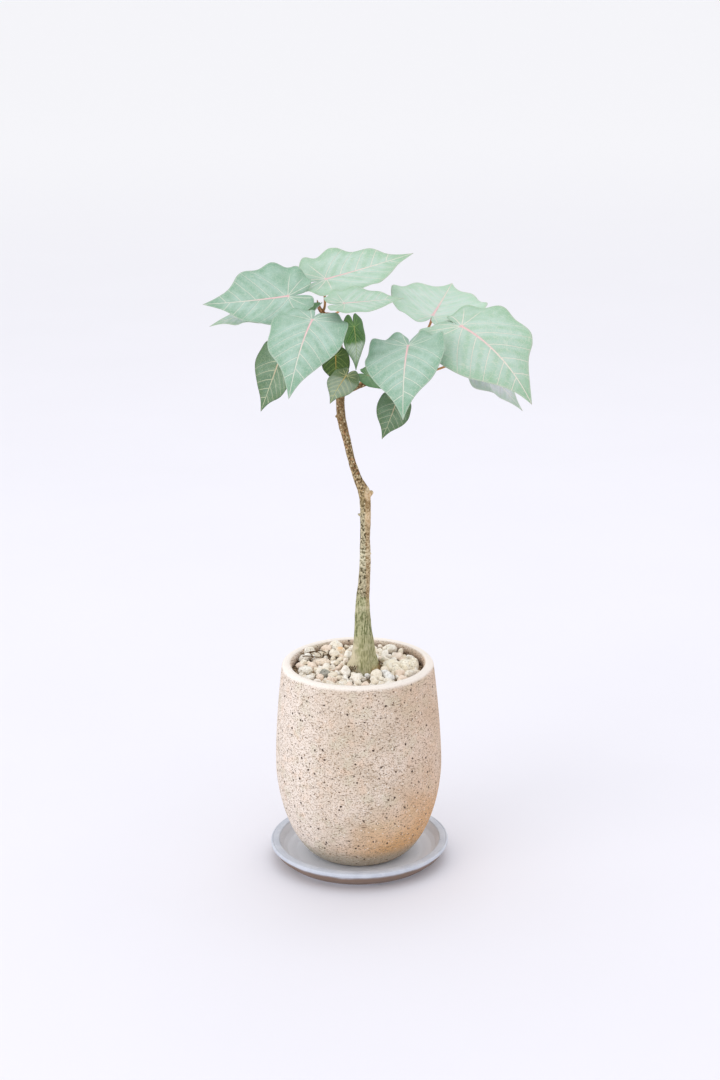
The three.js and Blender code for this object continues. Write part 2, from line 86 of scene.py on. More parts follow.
# %% Camera
LENS = 72.0
CAMERA_PLACE = Vector((0.0032, -1.8193, 0.8545))
CAMERA_DOWN = math.radians(16.89)
CAMERA_LEAN = math.radians(-0.57)

camera_data = bpy.data.cameras.new("camera")
camera_data.sensor_fit = "VERTICAL"
camera_data.sensor_height = 36.0
camera_data.lens = LENS
camera = add_object("camera", camera_data)
aim = Matrix.Rotation(math.pi / 2 - CAMERA_DOWN, 4, "X") @ Matrix.Rotation(CAMERA_LEAN, 4, "Z")
camera.matrix_world = Matrix.Translation(CAMERA_PLACE) @ aim
bpy.context.scene.camera = camera
bpy.context.scene.view_settings.view_transform = "Standard"
print("The camera looks along", tuple(round(v, 3) for v in camera.matrix_world.to_3x3() @ Vector((0, 0, -1))))

# %% Lights
LIT_SPOT = Vector((0.0, 0.0, 0.3))
SKY_COLOUR = (0.98, 0.98, 1.0, 1.0)
SKY_STRENGTH = 0.95


def add_light(name, place, size, power, color):
    """A square area light that faces the middle of the plant."""
    data = bpy.data.lights.new(name, "AREA")
    data.size = size
    data.energy = power
    data.color = color
    light = add_object(name, data)
    light.location = place
    light.rotation_euler = (LIT_SPOT - Vector(place)).to_track_quat("-Z", "Y").to_euler()


add_light("window on the left", (-2.3, -1.9, 0.95), 2.2, 31.0, (1.0, 0.985, 0.97))
add_light("sheet on the right", (2.4, -1.6, 0.7), 1.8, 7.0, (1.0, 0.90, 0.84))
add_light("lamp above", (0.2, 0.9, 2.6), 1.8, 12.0, (0.97, 0.98, 1.0))
world = bpy.data.worlds.new("bright room")
bpy.context.scene.world = world
world.use_nodes = True
sky = world.node_tree.nodes["Background"]
sky.inputs["Color"].default_value = SKY_COLOUR
sky.inputs["Strength"].default_value = SKY_STRENGTH

# %% [markdown]
# ## Finishes as sums
#
# A finish is a small graph of nodes that turns a place on the piece into a colour, a roughness and a relief.
# Wired by hand, such a graph is hard to read. So one small class wraps a socket, and plus, minus and times on
# it add the node that does that sum. A finish then reads like the rule that it follows.

# %% Wrapped socket


def paint(red, green, blue):
    """A colour as read off a screen, from 0 to 255, as the light that it stands for."""
    shares = [v / 255 for v in (red, green, blue)]
    return tuple(v / 12.92 if v <= 0.04045 else ((v + 0.055) / 1.055) ** 2.4 for v in shares) + (1.0,)


class Value:
    """An output socket of a node that can be used in sums."""

    def __init__(self, tree, socket):
        self.tree = tree
        self.socket = socket

    def node(self, kind, settings, inputs, output=0):
        """Adds a node from its type, its settings and what goes into its sockets."""
        made = self.tree.nodes.new(kind)
        for key, value in settings.items():
            setattr(made, key, value)
        for key, value in inputs.items():
            if isinstance(value, Value):
                self.tree.links.new(value.socket, made.inputs[key])
            else:
                made.inputs[key].default_value = value
        return Value(self.tree, made.outputs[output])

    def math(self, operation, *others):
        """One sum of this value and others."""
        return self.node("ShaderNodeMath", {"operation": operation}, dict(enumerate((self, *others))))

    def __add__(self, other):
        return self.math("ADD", other)

    def __sub__(self, other):
        return self.math("SUBTRACT", other)

    def __mul__(self, other):
        return self.math("MULTIPLY", other)

    def __truediv__(self, other):
        return self.math("DIVIDE", other)

    def __neg__(self):
        return self * -1.0

    def __rsub__(self, other):
        return -self + other

    __radd__ = __add__
    __rmul__ = __mul__

    def ramp(self, low, high):
        """0 at the low value and 1 at the high one, smooth between them."""
        smooth = {"interpolation_type": "SMOOTHSTEP"}
        return self.node("ShaderNodeMapRange", smooth, {0: self, 1: low, 2: high})

    def mix(self, first, second):
        """The first colour where this is 0, the second where it is 1. Either may be numbers off a screen."""
        first, second = (paint(*look) if isinstance(look, tuple) else look for look in (first, second))
        return self.node("ShaderNodeMix", {"data_type": "RGBA"}, {0: self, 6: first, 7: second}, 2)

    def split(self):
        """The three numbers of a vector."""
        parts = self.node("ShaderNodeSeparateXYZ", {}, {0: self})
        return [Value(self.tree, socket) for socket in parts.socket.node.outputs]

    def times(self, vector):
        """A vector with each of its numbers multiplied."""
        return self.node("ShaderNodeVectorMath", {"operation": "MULTIPLY"}, {0: self, 1: vector})

    def warped(self, size, reach):
        """The place pushed about by noise, which turns round marks into ragged ones."""
        push = self.node("ShaderNodeTexNoise", {}, {"Vector": self, "Scale": 1 / size}, "Color")
        inputs = {0: push, 1: (reach,) * 3, 2: self}
        return push.node("ShaderNodeVectorMath", {"operation": "MULTIPLY_ADD"}, inputs)

    def scaled(self, amount):
        """A vector with all of its numbers multiplied by one value."""
        return self.node("ShaderNodeVectorMath", {"operation": "SCALE"}, {0: self, "Scale": amount})

    def cloud(self, size, detail=3.0):
        """Soft noise from 0 to 1 with blotches of this size."""
        return self.node("ShaderNodeTexNoise", {}, {"Vector": self, "Scale": 1 / size, "Detail": detail})

    def cells(self, size, output="Distance", feature="F1"):
        """How far the nearest of many scattered seeds is, in shares of the size, or the seed's own colour."""
        return self.node(
            "ShaderNodeTexVoronoi", {"feature": feature}, {"Vector": self, "Scale": 1 / size}, output
        )

    def relief(self, depth):
        """A normal that makes this height show as a relief of that depth in metres."""
        return self.node("ShaderNodeBump", {}, {"Height": self, "Distance": depth}, "Normal")


print("A colour off a screen:", [round(v, 3) for v in paint(184, 216, 200)])

# %% [markdown]
# ## Start of every finish
#
# Every finish starts with the same two things: the shader that answers to light, and the place on the piece
# in millimetres, read from the object's own coordinates so that nothing slides when the piece is turned.

# %% New finish


def new_finish(name, roughness, specular=0.5):
    """A material with its shader, and the place on the piece in millimetres."""
    material = bpy.data.materials.new(name)
    material.use_nodes = True
    tree = material.node_tree
    shader = tree.nodes["Principled BSDF"]
    shader.inputs["Roughness"].default_value = roughness
    shader.inputs["Specular IOR Level"].default_value = specular
    metres = Value(tree, tree.nodes.new("ShaderNodeTexCoord").outputs["Object"])
    return material, shader, metres.times((1 / MM,) * 3)


def feed(shader, **inputs):
    """Joins values to the shader's sockets, with underscores for the spaces in their names."""
    for key, value in inputs.items():
        value.tree.links.new(value.socket, shader.inputs[key.replace("_", " ")])


def coated(body, *coats):
    """A colour with others laid over it, each as far as its mask says."""
    for mask, colour in coats:
        body = mask.mix(body, colour)
    return body


def length(*parts):
    """Length of the vector with these numbers."""
    return sum(part * part for part in parts).math("SQRT")


def speckle(place, size, radius, kept, soft=0.35):
    """Round specks: 1 inside a speck. The radius is a share of the size, and kept the share of seeds used."""
    chance = place.cells(size, "Color").split()[0]
    spot = place.cells(size).ramp(radius * (1 + soft), radius * (1 - soft))
    return spot * chance.ramp(1 - kept + 0.02, 1 - kept + 0.04)


def floor_finish():
    """A matt pale floor with the faintest clouds, painted a little brighter far away as painted light."""
    material, shader, place = new_finish("pale floor", 0.9, 0.2)
    x, y, _ = place.split()
    near = place.cloud(300.0).mix((233, 232, 239), (237, 236, 243))
    # Painted light: the floor turns whiter with distance, where less lamp light reaches it.
    feed(shader, Base_Color=length(x, y).ramp(500.0, 6000.0).mix(near, (253, 253, 255)))
    return material


FLOOR_SIDE = 60.0
bpy.ops.mesh.primitive_plane_add(size=FLOOR_SIDE)
floor = bpy.context.object
floor.name = "floor"
floor.data.materials.append(floor_finish())
print("The floor lies at", floor.location.z)

# %% [markdown]
# ## Turned clay: the saucer and the pot
#
# Both were shaped on a wheel, so one outline turned about an axis is the whole form. A Screw modifier would
# turn it too, but the script then needs the points of a profile all the same, and a mesh of rings made
# directly leaves full say over the poles. The outline is the drawing's own, with its corners eased as fingers
# and a sponge do.

# %% Turning a profile


def new_object(name, mesh):
    """A new object from a mesh, smooth all over."""
    mesh.shade_smooth()
    return add_object(name, mesh)


def mesh_object(name, points, faces):
    """A new object from points in metres and faces."""
    mesh = bpy.data.meshes.new(name)
    mesh.from_pydata([tuple(point) for point in points], [], faces)
    return new_object(name, mesh)


def turned_form(profile, sides):
    """Points and faces of a closed outline of (radius, height), turned. A radius of 0 is a pole."""
    points = []
    rows = []
    angles = [2 * math.pi * k / sides for k in range(sides)]
    for radius, height in profile:
        first = len(points)
        if radius == 0:
            points.append((0.0, 0.0, height))
            rows.append([first] * sides)
        else:
            points += [(radius * math.cos(a), radius * math.sin(a), height) for a in angles]
            rows.append(list(range(first, first + sides)))
    faces = []
    pairs = list(zip(rows, rows[1:]))
    if profile[0][0] > 0:
        pairs.append((rows[-1], rows[0]))
    for low, high in pairs:
        for k in range(sides):
            corners = [low[k], low[(k + 1) % sides], high[(k + 1) % sides], high[k]]
            faces.append(list(dict.fromkeys(corners)))
    return points, [face for face in faces if len(face) > 2]


def turned(name, profile, sides=192):
    """An object from an outline in millimetres, turned about the upright axis."""
    points, faces = turned_form(profile, sides)
    return mesh_object(name, np.array(points) * MM, faces)


def eased(profile, ease):
    """The profile with each inner corner replaced by a short curve."""
    points = [Vector(point) for point in profile]
    result = []
    for index, point in enumerate(points):
        if index in (0, len(points) - 1):
            result.append(tuple(point))
            continue
        before = points[index - 1] - point
        after = points[index + 1] - point
        reach = min(ease, before.length * 0.45, after.length * 0.45)
        start = point + before.normalized() * reach
        end = point + after.normalized() * reach
        for share in (0.0, 0.25, 0.5, 0.75, 1.0):
            place = start.lerp(point, share).lerp(point.lerp(end, share), share)
            result.append((max(place.x, 0.0), place.y))
    return result


LIP_POINTS = 22


def lip(centre, height, half):
    """The outline over a rounded rim, from its outer to its inner side."""
    angles = np.radians(np.linspace(0, 180, LIP_POINTS))
    return [(centre + half * math.cos(angle), height + half * math.sin(angle)) for angle in angles]


# %% [markdown]
# ## Saucer
#
# The saucer is tan clay under a thin blue-grey glaze, which stops short of the foot. The bare clay is painted
# darker and browner as painted shade and a painted reflection of a wooden table, and the dish is painted
# paler as painted light. It is smooth to the hand but matt, with a faint cloud in its colour and a few iron
# specks. An image could hold these marks, but noise and scattered seeds have no seam and no fixed resolution.

# %% Saucer
SAUCER_PROFILE = [
    (0, 0), (62, 0), (70, 3), (76.5, 8.4), (79.4, 13.8), (81, 14.6), (81, 17.2), (80.2, 18),
    (79.4, 18), (78.9, 17.6), (78.3, 18),
    (73.8, 18), (73, 17.2), (69.6, 11.4), (66, 8.4), (58, 6), (0, 6),
]
DISH_RADIUS = 73.0
CORNER_EASE = 0.7


def saucer_finish():
    """Matt blue-grey glaze with faint clouds, paler in the dish as painted light, tan clay where it stops,
    darker there with painted shade and a painted reflection of a wooden table, and a few dark specks.
    """
    material, shader, place = new_finish("blue-grey clay", 0.5, 0.35)
    x, y, z = place.split()
    cloud = place.cloud(18.0)
    fine = place.cloud(0.9)
    outside = length(x, y) - (z + cloud * 2.0) * 1.1
    # Where the glaze stops: bare clay, which also gets painted shade and a painted reflection of a wooden
    # table.
    bare = outside.ramp(62.5, 64.5) * z.ramp(14.6, 13.4)
    specks = speckle(place.warped(3.0, 2.0), 7.0, 0.07, 0.4)
    feed(shader, Base_Color=coated(
        cloud.ramp(0.35, 0.65).mix((192, 198, 210), (206, 211, 221)),
        (fine.ramp(0.3, 0.8) * 0.16, (150, 156, 168)),
        (place.cloud(5.0).ramp(0.55, 0.75) * 0.35, (222, 225, 230)),
        # Painted light: the glaze in the dish is painted paler, against the shade between the pot and the
        # rim.
        (length(x, y).ramp(DISH_RADIUS + 0.6, DISH_RADIUS - 0.6) * 0.9, (238, 240, 247)),
        # Bare tan clay painted dark brown: partly its own colour, partly painted shade and a painted
        # reflection of a wooden table.
        (bare * 0.9, (116, 88, 64)),
        (specks * 0.7, (92, 84, 84)),
    ))
    feed(shader, Roughness=cloud * 0.18 + 0.42)
    feed(shader, Normal=(fine * 0.6 + place.cloud(4.0) * 0.4).relief(0.0002))
    return material


saucer = turned("turned_saucer", eased(SAUCER_PROFILE, CORNER_EASE))
saucer.data.materials.append(saucer_finish())
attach(saucer, "root")
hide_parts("saucer")
print("Saucer faces:", len(saucer.data.polygons))

# %% [markdown]
# ## Pot
#
# The pot's wall swells to a belly just under its middle and draws in to a rounded lip. Two power curves, one
# above the belly and one below, give that egg, the same two as in the drawing. The clay holds sand and
# crushed dark stone, so its face is full of dark specks and small pits. The lip was wiped smooth and is
# paler.

# %% Pot
FOOT_Z = 6.3
FOOT_RADIUS = 36.0
BELLY_Z = 93.5
BELLY_RADIUS = 75.0
MOUTH_Z = 184.5
MOUTH_RADIUS = 68.2
WALL = 9.2
FLOOR_Z = 17.0
FLOOR_RADIUS = 37.2
HOLE_RADIUS = 6.0
WALL_HEIGHTS = (6.6, 7.4, 9, 11.5, *np.linspace(15, 182, 56))
LOWEST_INSIDE = 24


def pot_radius(height):
    """Outer radius of the pot at a height."""
    if height > BELLY_Z:
        share = (height - BELLY_Z) / (MOUTH_Z - BELLY_Z)
        return MOUTH_RADIUS + (BELLY_RADIUS - MOUTH_RADIUS) * (1 - share ** 1.63)
    share = (BELLY_Z - height) / (BELLY_Z - FOOT_Z)
    return FOOT_RADIUS + (BELLY_RADIUS - FOOT_RADIUS) * (1 - share ** 1.8) ** (1 / 1.8)


def pot_profile():
    """Outline of the pot: foot, wall, lip, inner wall and the drain hole's floor."""
    outside = [(pot_radius(z), z) for z in WALL_HEIGHTS]
    inside = [(pot_radius(z) - WALL, z) for z in reversed(WALL_HEIGHTS) if z > LOWEST_INSIDE]
    edge = lip(MOUTH_RADIUS - WALL / 2, MOUTH_Z, WALL / 2)
    foot = [(HOLE_RADIUS, FOOT_Z), (FOOT_RADIUS, FOOT_Z)]
    return [*foot, *outside, *edge, *inside, (FLOOR_RADIUS, FLOOR_Z), (HOLE_RADIUS, FLOOR_Z)]


def pot_finish():
    """Sanded stoneware: beige clay, dark and pale specks, pits, and a smoother lip."""
    material, shader, place = new_finish("speckled stoneware", 0.86, 0.25)
    x, y, z = place.split()
    ragged = place.warped(1.6, 1.5)
    broad = place.cloud(34.0, 2.0)
    grain = place.cloud(1.1, 4.0)
    body = coated(
        broad.ramp(0.3, 0.7).mix((225, 210, 196), (205, 189, 170)),
        # Painted light: the left side of the pot is painted lighter, as if lit from the left.
        ((broad * 40.0 - x).ramp(36.0, 76.0) * 0.75, (242, 231, 222)),
        (place.cloud(15.0, 2.0).ramp(0.5, 0.7) * 0.5, (206, 200, 178)),
        (place.cloud(9.0, 2.0).ramp(0.52, 0.75) * 0.4, (232, 202, 178)),
        # Painted reflection: a warm amber patch low on the right front and a warmer right side stand for
        # light thrown back by a wooden table.
        ((x * 0.55 - y * 0.35 - (z - 38.0) * 0.7 + broad * 26.0).ramp(14.0, 58.0) * 0.8, (216, 162, 94)),
        ((x * 0.6 - y * 0.2 + broad * 30.0).ramp(40.0, 64.0) * 0.35, (218, 176, 144)),
        ((z + broad * 6.0).ramp(36.0, 20.0) * 0.8, (170, 169, 158)),
    )
    body = grain.ramp(0.32, 0.5).mix((172, 150, 126), body)
    inside = length(x, y).ramp(61.6, 59.8) * z.ramp(60.0, 80.0)
    wiped = (z + broad * 4.0).ramp(186.4, 190.0) * (1.0 - inside)
    bare = 1.0 - wiped
    flecks = place.times((0.5, 0.5, 1.7)).warped(2.2, 2.0).cloud(1.4, 2.0).ramp(0.59, 0.68)
    small = speckle(ragged, 2.0, 0.23, 0.5)
    middle = speckle(ragged, 3.2, 0.2, 0.36)
    large = speckle(ragged, 7.0, 0.15, 0.5, 0.3)
    tone = place.cells(3.9, "Color").mix((124, 98, 78), (88, 70, 58))
    body = coated(
        body,
        # Painted shade: the inner wall turns darker brown below the lip, down into the mouth.
        (inside * z.ramp(190.0, 176.0) * 0.7, (150, 116, 92)),
        (speckle(ragged, 3.1, 0.2, 0.5) * bare * 0.6, (242, 236, 228)),
        (flecks * bare * 0.75, (124, 98, 74)),
        (small * bare * 0.7, (128, 104, 82)),
        (middle * bare, tone),
        (large * bare, (76, 60, 50)),
        (wiped * 0.85, (249, 242, 235)),
    )
    pits = speckle(ragged, 3.4, 0.15, 0.4) + middle * 0.5 + flecks * 0.4
    height = grain * 0.5 - pits * bare
    feed(shader, Base_Color=body)
    feed(shader, Roughness=0.9 - wiped * 0.18)
    feed(shader, Normal=height.relief(0.0005))
    return material


pot = turned("turned_pot", pot_profile())
pot.data.materials.append(pot_finish())
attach(pot, "root")
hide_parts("pot")
print("Pot faces:", len(pot.data.polygons))

# %% [markdown]
# ## Potting mix
#
# The mix of bark and grit under the pebbles fills the pot. The drawing's solid for it is right as it is,
# because only a little of it shows between the pebbles and round the stem. It gets a crumbly dark finish.

# %% Potting mix


def soil_finish():
    """Dark bark crumbs with a few pale grains."""
    material, shader, place = new_finish("potting mix", 0.95, 0.2)
    crumbs = place.cells(2.2)
    body = crumbs.ramp(0.2, 0.7).mix((92, 68, 50), (38, 28, 22))
    grains = speckle(place, 4.0, 0.22, 0.3)
    feed(shader, Base_Color=grains.mix(body, (186, 164, 136)))
    feed(shader, Normal=(1.0 - crumbs).relief(0.0012))
    return material


def grit_finish():
    """Tan grit with dark crumbs, under the pebbles."""
    material, shader, place = new_finish("grit", 0.95, 0.2)
    grains = place.cells(1.8)
    body = grains.ramp(0.2, 0.7).mix((204, 184, 156), (110, 88, 64))
    body = place.cloud(7.0).ramp(0.52, 0.62).mix(body, (70, 52, 38))
    feed(shader, Base_Color=body)
    feed(shader, Normal=(1.0 - grains).relief(0.0010))
    return material


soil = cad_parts["soil"]
soil.data.materials.clear()
soil.data.materials.append(soil_finish())

# %% [markdown]
# ## Bed under the pebbles
#
# Between the pebbles one looks down on grit and potting mix. A round disc with a bumpy top does for that. The
# part of it that is free, away from the stem and the large stones, is also the ground that pebbles fall on.

# %% Bed
BED_RADIUS = 58.8
BED_FLOOR = 174.0
BED_TOP = 179.4
BED_RISE = 0.04
CROWN = Vector((6.6, 0.0))
CROWN_ROOM = 19.0
PALE_STONE = Vector((39.0, 3.0))
PALE_STONE_ROOM = 15.0
LOOSE_STONE_ROOM = 1.5
FREE_RADIUS = 54.5
LOOSE_STONES = (
    ((23.5, -15.0, 182.2), (3.9, 3.6, 3.6), "white"), ((26.2, -21.0, 182.3), (4.0, 3.9, 3.8), "white"),
    ((28.8, -27.0, 182.0), (3.6, 4.0, 3.4), "white"), ((-47.0, -8.0, 183.0), (6.6, 5.4, 5.0), "cream"),
    ((-43.5, 35.0, 184.6), (5.8, 5.4, 5.4), "cream"), ((-20.0, 48.0, 185.6), (6.4, 5.2, 5.4), "cream"),
    ((29.7, 43.0, 184.0), (7.2, 4.6, 4.4), "cream"), ((-33.0, 15.0, 182.2), (9.0, 6.4, 3.6), "peach"),
    ((45.5, -20.0, 182.4), (4.6, 4.2, 4.4), "cream"), ((-29.8, -16.4, 182.6), (4.8, 4.4, 4.6), "grey"),
    ((1.6, -17.8, 181.0), (3.3, 2.7, 2.9), "cream"), ((8.8, -18.4, 181.2), (3.0, 2.8, 2.8), "white"),
    ((15.6, -16.4, 181.0), (2.9, 2.7, 2.7), "cream"),
)


def bed_mesh(name, rings=44, sides=120):
    """A disc in the pot's mouth. Its underside is flat, and its bumpy top rises towards the back."""
    top = [(BED_RADIUS * (1 - i / rings), BED_TOP) for i in range(rings + 1)]
    disc = turned(name, [(0, BED_FLOOR), (BED_RADIUS, BED_FLOOR), *top], sides)
    for vertex in disc.data.vertices:
        if vertex.co.z > (BED_FLOOR + 1) * MM:
            bumps = noise.noise(vertex.co / (9 * MM)) * 0.9 + noise.noise(vertex.co / (3 * MM)) * 0.5
            vertex.co.z += bumps * MM + max(vertex.co.y, 0.0) * BED_RISE
    return disc


def is_free(place):
    """True on top of the bed, away from the stem, the large stones and the wall."""
    flat = Vector(place[:2]) / MM
    room = min(
        (flat - CROWN).length - CROWN_ROOM,
        (flat - PALE_STONE).length - PALE_STONE_ROOM,
        FREE_RADIUS - flat.length,
        *((flat - Vector(spot[:2])).length - radii[0] - LOOSE_STONE_ROOM for spot, radii, _ in LOOSE_STONES),
    )
    return room > 0 and place[2] > (BED_FLOOR + 1) * MM


def free_ground(source):
    """A copy of the free part of the bed's top."""
    points = [vertex.co[:] for vertex in source.data.vertices]
    free = [is_free(point) for point in points]
    faces = [list(face.vertices) for face in source.data.polygons if all(free[i] for i in face.vertices)]
    mesh = bpy.data.meshes.new("free_ground")
    mesh.from_pydata(points, [], faces)
    return mesh


bed = bed_mesh("pebble_bed")
bed.data.materials.append(grit_finish())
ground = free_ground(bed)
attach(bed, "root")
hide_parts("gravel")
print("Free faces of the bed:", len(ground.polygons), "of", len(bed.data.polygons))

# %% [markdown]
# ## Pebbles
#
# Nearly two hundred pebbles lie on the bed as they fell: pale pumice and quartz, each rough in its own way.
# Modelling each by hand is hopeless, and copies of one pebble look like copies. So Geometry Nodes scatter
# them at least a pebble apart, turn and size each at random, and push the corners of the joined balls by
# noise that depends on their place, so that each has broken faces of its own. A subdivision with creased
# edges then wears the edges down a little. One tree does it twice: small pebbles that fill the bed, then
# larger ones on top.

# %% Pebble tree
SEEDS_PER_SQUARE_METRE = 90000.0


def pebble_tree():
    """Nodes that scatter rough pebbles over the mesh that they are put on."""
    tree = bpy.data.node_groups.new("scattered pebbles", "GeometryNodeTree")
    sockets = {}
    for label, kind in (
        ("Ground", "NodeSocketGeometry"), ("Spacing", "NodeSocketFloat"), ("Smallest", "NodeSocketFloat"),
        ("Largest", "NodeSocketFloat"), ("Lift", "NodeSocketFloat"), ("Seed", "NodeSocketInt"),
        ("Finish", "NodeSocketMaterial"),
    ):
        sockets[label] = tree.interface.new_socket(label, in_out="INPUT", socket_type=kind).identifier
    tree.interface.new_socket("Pebbles", in_out="OUTPUT", socket_type="NodeSocketGeometry")
    group = tree.nodes.new("NodeGroupInput")
    given = {socket.name: Value(tree, socket) for socket in group.outputs if socket.name}
    ground = given["Ground"]

    def draw(low, high, offset, kind="FLOAT"):
        """A random number, or a random vector, for each pebble."""
        at = {"FLOAT": (2, 3, 1), "FLOAT_VECTOR": (0, 1, 0)}[kind]
        inputs = {at[0]: low, at[1]: high, "Seed": given["Seed"] + offset}
        return ground.node("FunctionNodeRandomValue", {"data_type": kind}, inputs, at[2])

    scatter = {
        "Mesh": ground, "Distance Min": given["Spacing"], "Density Max": SEEDS_PER_SQUARE_METRE,
        "Seed": given["Seed"],
    }
    points = ground.node("GeometryNodeDistributePointsOnFaces", {"distribute_method": "POISSON"}, scatter)
    lift = ground.node("ShaderNodeCombineXYZ", {}, {2: given["Lift"] * draw(0.2, 1.0, 1)})
    points = points.node("GeometryNodeSetPosition", {}, {"Geometry": points, "Offset": lift})
    ball = ground.node("GeometryNodeMeshIcoSphere", {}, {"Radius": 1.0, "Subdivisions": 2})
    size = draw(given["Smallest"], given["Largest"], 2)
    shape = draw((0.85, 0.7, 0.62), (1.25, 1.0, 0.9), 3, "FLOAT_VECTOR").scaled(size)
    turn = draw((0.0, 0.0, 0.0), (0.9, 0.9, 6.28), 4, "FLOAT_VECTOR")
    placed = {"Points": points, "Instance": ball, "Rotation": turn, "Scale": shape}
    many = points.node("GeometryNodeInstanceOnPoints", {}, placed)
    tint = {"Geometry": many, "Name": "tint", "Value": draw(0.0, 1.0, 5)}
    many = many.node("GeometryNodeStoreNamedAttribute", {"data_type": "FLOAT", "domain": "INSTANCE"}, tint)
    many = many.node("GeometryNodeRealizeInstances", {}, {"Geometry": many})
    place = many.node("GeometryNodeInputPosition", {}, {})
    normal = many.node("GeometryNodeInputNormal", {}, {})
    broken = place.cloud(0.0042, 0.0) * 0.0058 + place.cloud(0.0017, 0.0) * 0.0034 - 0.0046
    many = many.node("GeometryNodeSetPosition", {}, {"Geometry": many, "Offset": normal.scaled(broken)})
    many = many.node("GeometryNodeSubdivisionSurface", {}, {"Mesh": many, "Level": 1, "Edge Crease": 0.7})
    grain = place.cloud(0.0009, 1.0) * 0.0006 - 0.0003
    many = many.node("GeometryNodeSetPosition", {}, {"Geometry": many, "Offset": normal.scaled(grain)})
    many = many.node("GeometryNodeSetShadeSmooth", {}, {"Geometry": many})
    many = many.node("GeometryNodeSetMaterial", {}, {"Geometry": many, "Material": given["Finish"]})
    tree.links.new(many.socket, tree.nodes.new("NodeGroupOutput").inputs[0])
    return tree, sockets


def settled(carrier, name):
    """Turns an object with a live modifier into a plain mesh of that name, and drops the object."""
    bpy.context.view_layer.update()
    mesh = bpy.data.meshes.new_from_object(carrier.evaluated_get(bpy.context.evaluated_depsgraph_get()))
    carrier.modifiers.clear()
    bpy.data.objects.remove(carrier)
    mesh.name = name
    return new_object(name, mesh)


def grown(ground_mesh, name, tree, sockets, **inputs):
    """Puts a tree on a mesh and keeps the result as a plain mesh object of that name."""
    carrier = add_object(name, ground_mesh)
    modifier = carrier.modifiers.new(name, "NODES")
    modifier.node_group = tree
    for key, value in inputs.items():
        modifier[sockets[key]] = value
    return settled(carrier, name)


# %% Pebbles


def pebble_finish():
    """Rough stone whose colour differs from pebble to pebble by the tint that the tree stored."""
    material, shader, place = new_finish("cream pebbles", 0.92, 0.2)
    tint = place.node("ShaderNodeAttribute", {"attribute_name": "tint"}, {}, "Fac")
    x, y, _ = place.split()
    stain = length(x + 15.0, y - 42.0).ramp(6.0, 2.0) * place.cloud(2.0).ramp(0.4, 0.55)
    dust = place.cloud(2.6)
    body = coated(
        tint.ramp(0.1, 0.9).mix((244, 234, 216), (252, 248, 240)),
        (tint.ramp(0.84, 0.9) * 0.6, (240, 212, 188)),
        (stain * 0.8, (244, 190, 130)),
        (dust.ramp(0.46, 0.72) * 0.4, (200, 182, 158)),
        (speckle(place, 2.1, 0.2, 0.3) * 0.3, (150, 132, 110)),
    )
    feed(shader, Base_Color=body)
    feed(shader, Normal=(dust * 0.5 + place.cloud(0.7) * 0.5).relief(0.0004))
    return material


pebble_look = pebble_finish()
pebbles, pebble_inputs = pebble_tree()
for name, spacing, smallest, largest, lift, seed in (
    ("pebbles_small", 0.0052, 0.0027, 0.0037, 0.0030, 3),
    ("pebbles_large", 0.0118, 0.0042, 0.0056, 0.0044, 9),
):
    heap = grown(ground, name, pebbles, pebble_inputs, Spacing=spacing, Smallest=smallest, Largest=largest,
                 Lift=lift, Seed=seed, Finish=pebble_look)
    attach(heap, "root")
    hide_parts("gravel")
    top = max(vertex.co.z for vertex in heap.data.vertices)
    print(name, "has", len(heap.data.polygons), "faces, top at", round(top, 4))

# %% [markdown]
# ## Large stones
#
# One pale stone at the right is a lump of several round parts, like a knot of chalk. More stones lie at
# places of their own: a long white one in front of it, round ones at the wall, small ones before the stem, a
# flat peach one and a grey one. Metaballs could grow such lumps, but balls joined by a voxel remesh and then
# pushed by noise give the same soft joins and a known size.

# %% Large stones
STONE_VOXEL = 0.0006
BALL_SIDES = 28
BALL_ROWS = 18
PALE_LUMPS = (
    ((31.0, 2.0, 181.8), (9.6, 8.8, 7.2)), ((35.5, -7.6, 181.2), (4.6, 4.2, 5.0)),
    ((42.6, 5.0, 182.4), (6.8, 7.4, 6.0)), ((43.6, -6.0, 181.8), (4.6, 4.4, 5.2)),
    ((50.0, 0.5, 182.2), (5.0, 4.8, 5.4)), ((50.4, 8.8, 182.6), (4.6, 4.8, 5.6)),
)


def joined(name, meshes):
    """One object from several closed meshes, each given as points in metres and faces."""
    points = []
    faces = []
    for mesh_points, mesh_faces in meshes:
        first = len(points)
        points += list(mesh_points)
        faces += [[first + corner for corner in face] for face in mesh_faces]
    return mesh_object(name, points, faces)


def joined_smooth(name, meshes, voxel):
    """Grows overlapping closed meshes together into one skin."""
    rough = joined(name, meshes)
    modifier = rough.modifiers.new("one skin", "REMESH")
    modifier.mode = "VOXEL"
    modifier.voxel_size = voxel
    return settled(rough, name)


def ball_mesh(centre, radii):
    """Points in metres and faces of a squashed ball, from sizes in millimetres."""
    lows = [math.pi * row / BALL_ROWS for row in range(1, BALL_ROWS)]
    arc = [(math.sin(low), -math.cos(low)) for low in lows]
    points, faces = turned_form([(0, -1), *arc, (0, 1)], BALL_SIDES)
    return [Vector(point) * MM for point in np.array(points) * radii + centre], faces


def roughen(made, size, depth):
    """Pushes each point in or out by noise, so that a smooth skin turns into stone."""
    normals = [vertex.normal.copy() for vertex in made.data.vertices]
    for vertex, normal in zip(made.data.vertices, normals):
        push = noise.noise(vertex.co / (size * MM)) + 0.4 * noise.noise(vertex.co / (size * 0.3 * MM))
        vertex.co += normal * push * depth * MM


lumpy = joined_smooth("lumpy_stone", [ball_mesh(*lump) for lump in PALE_LUMPS], STONE_VOXEL)
roughen(lumpy, 5.0, 0.7)


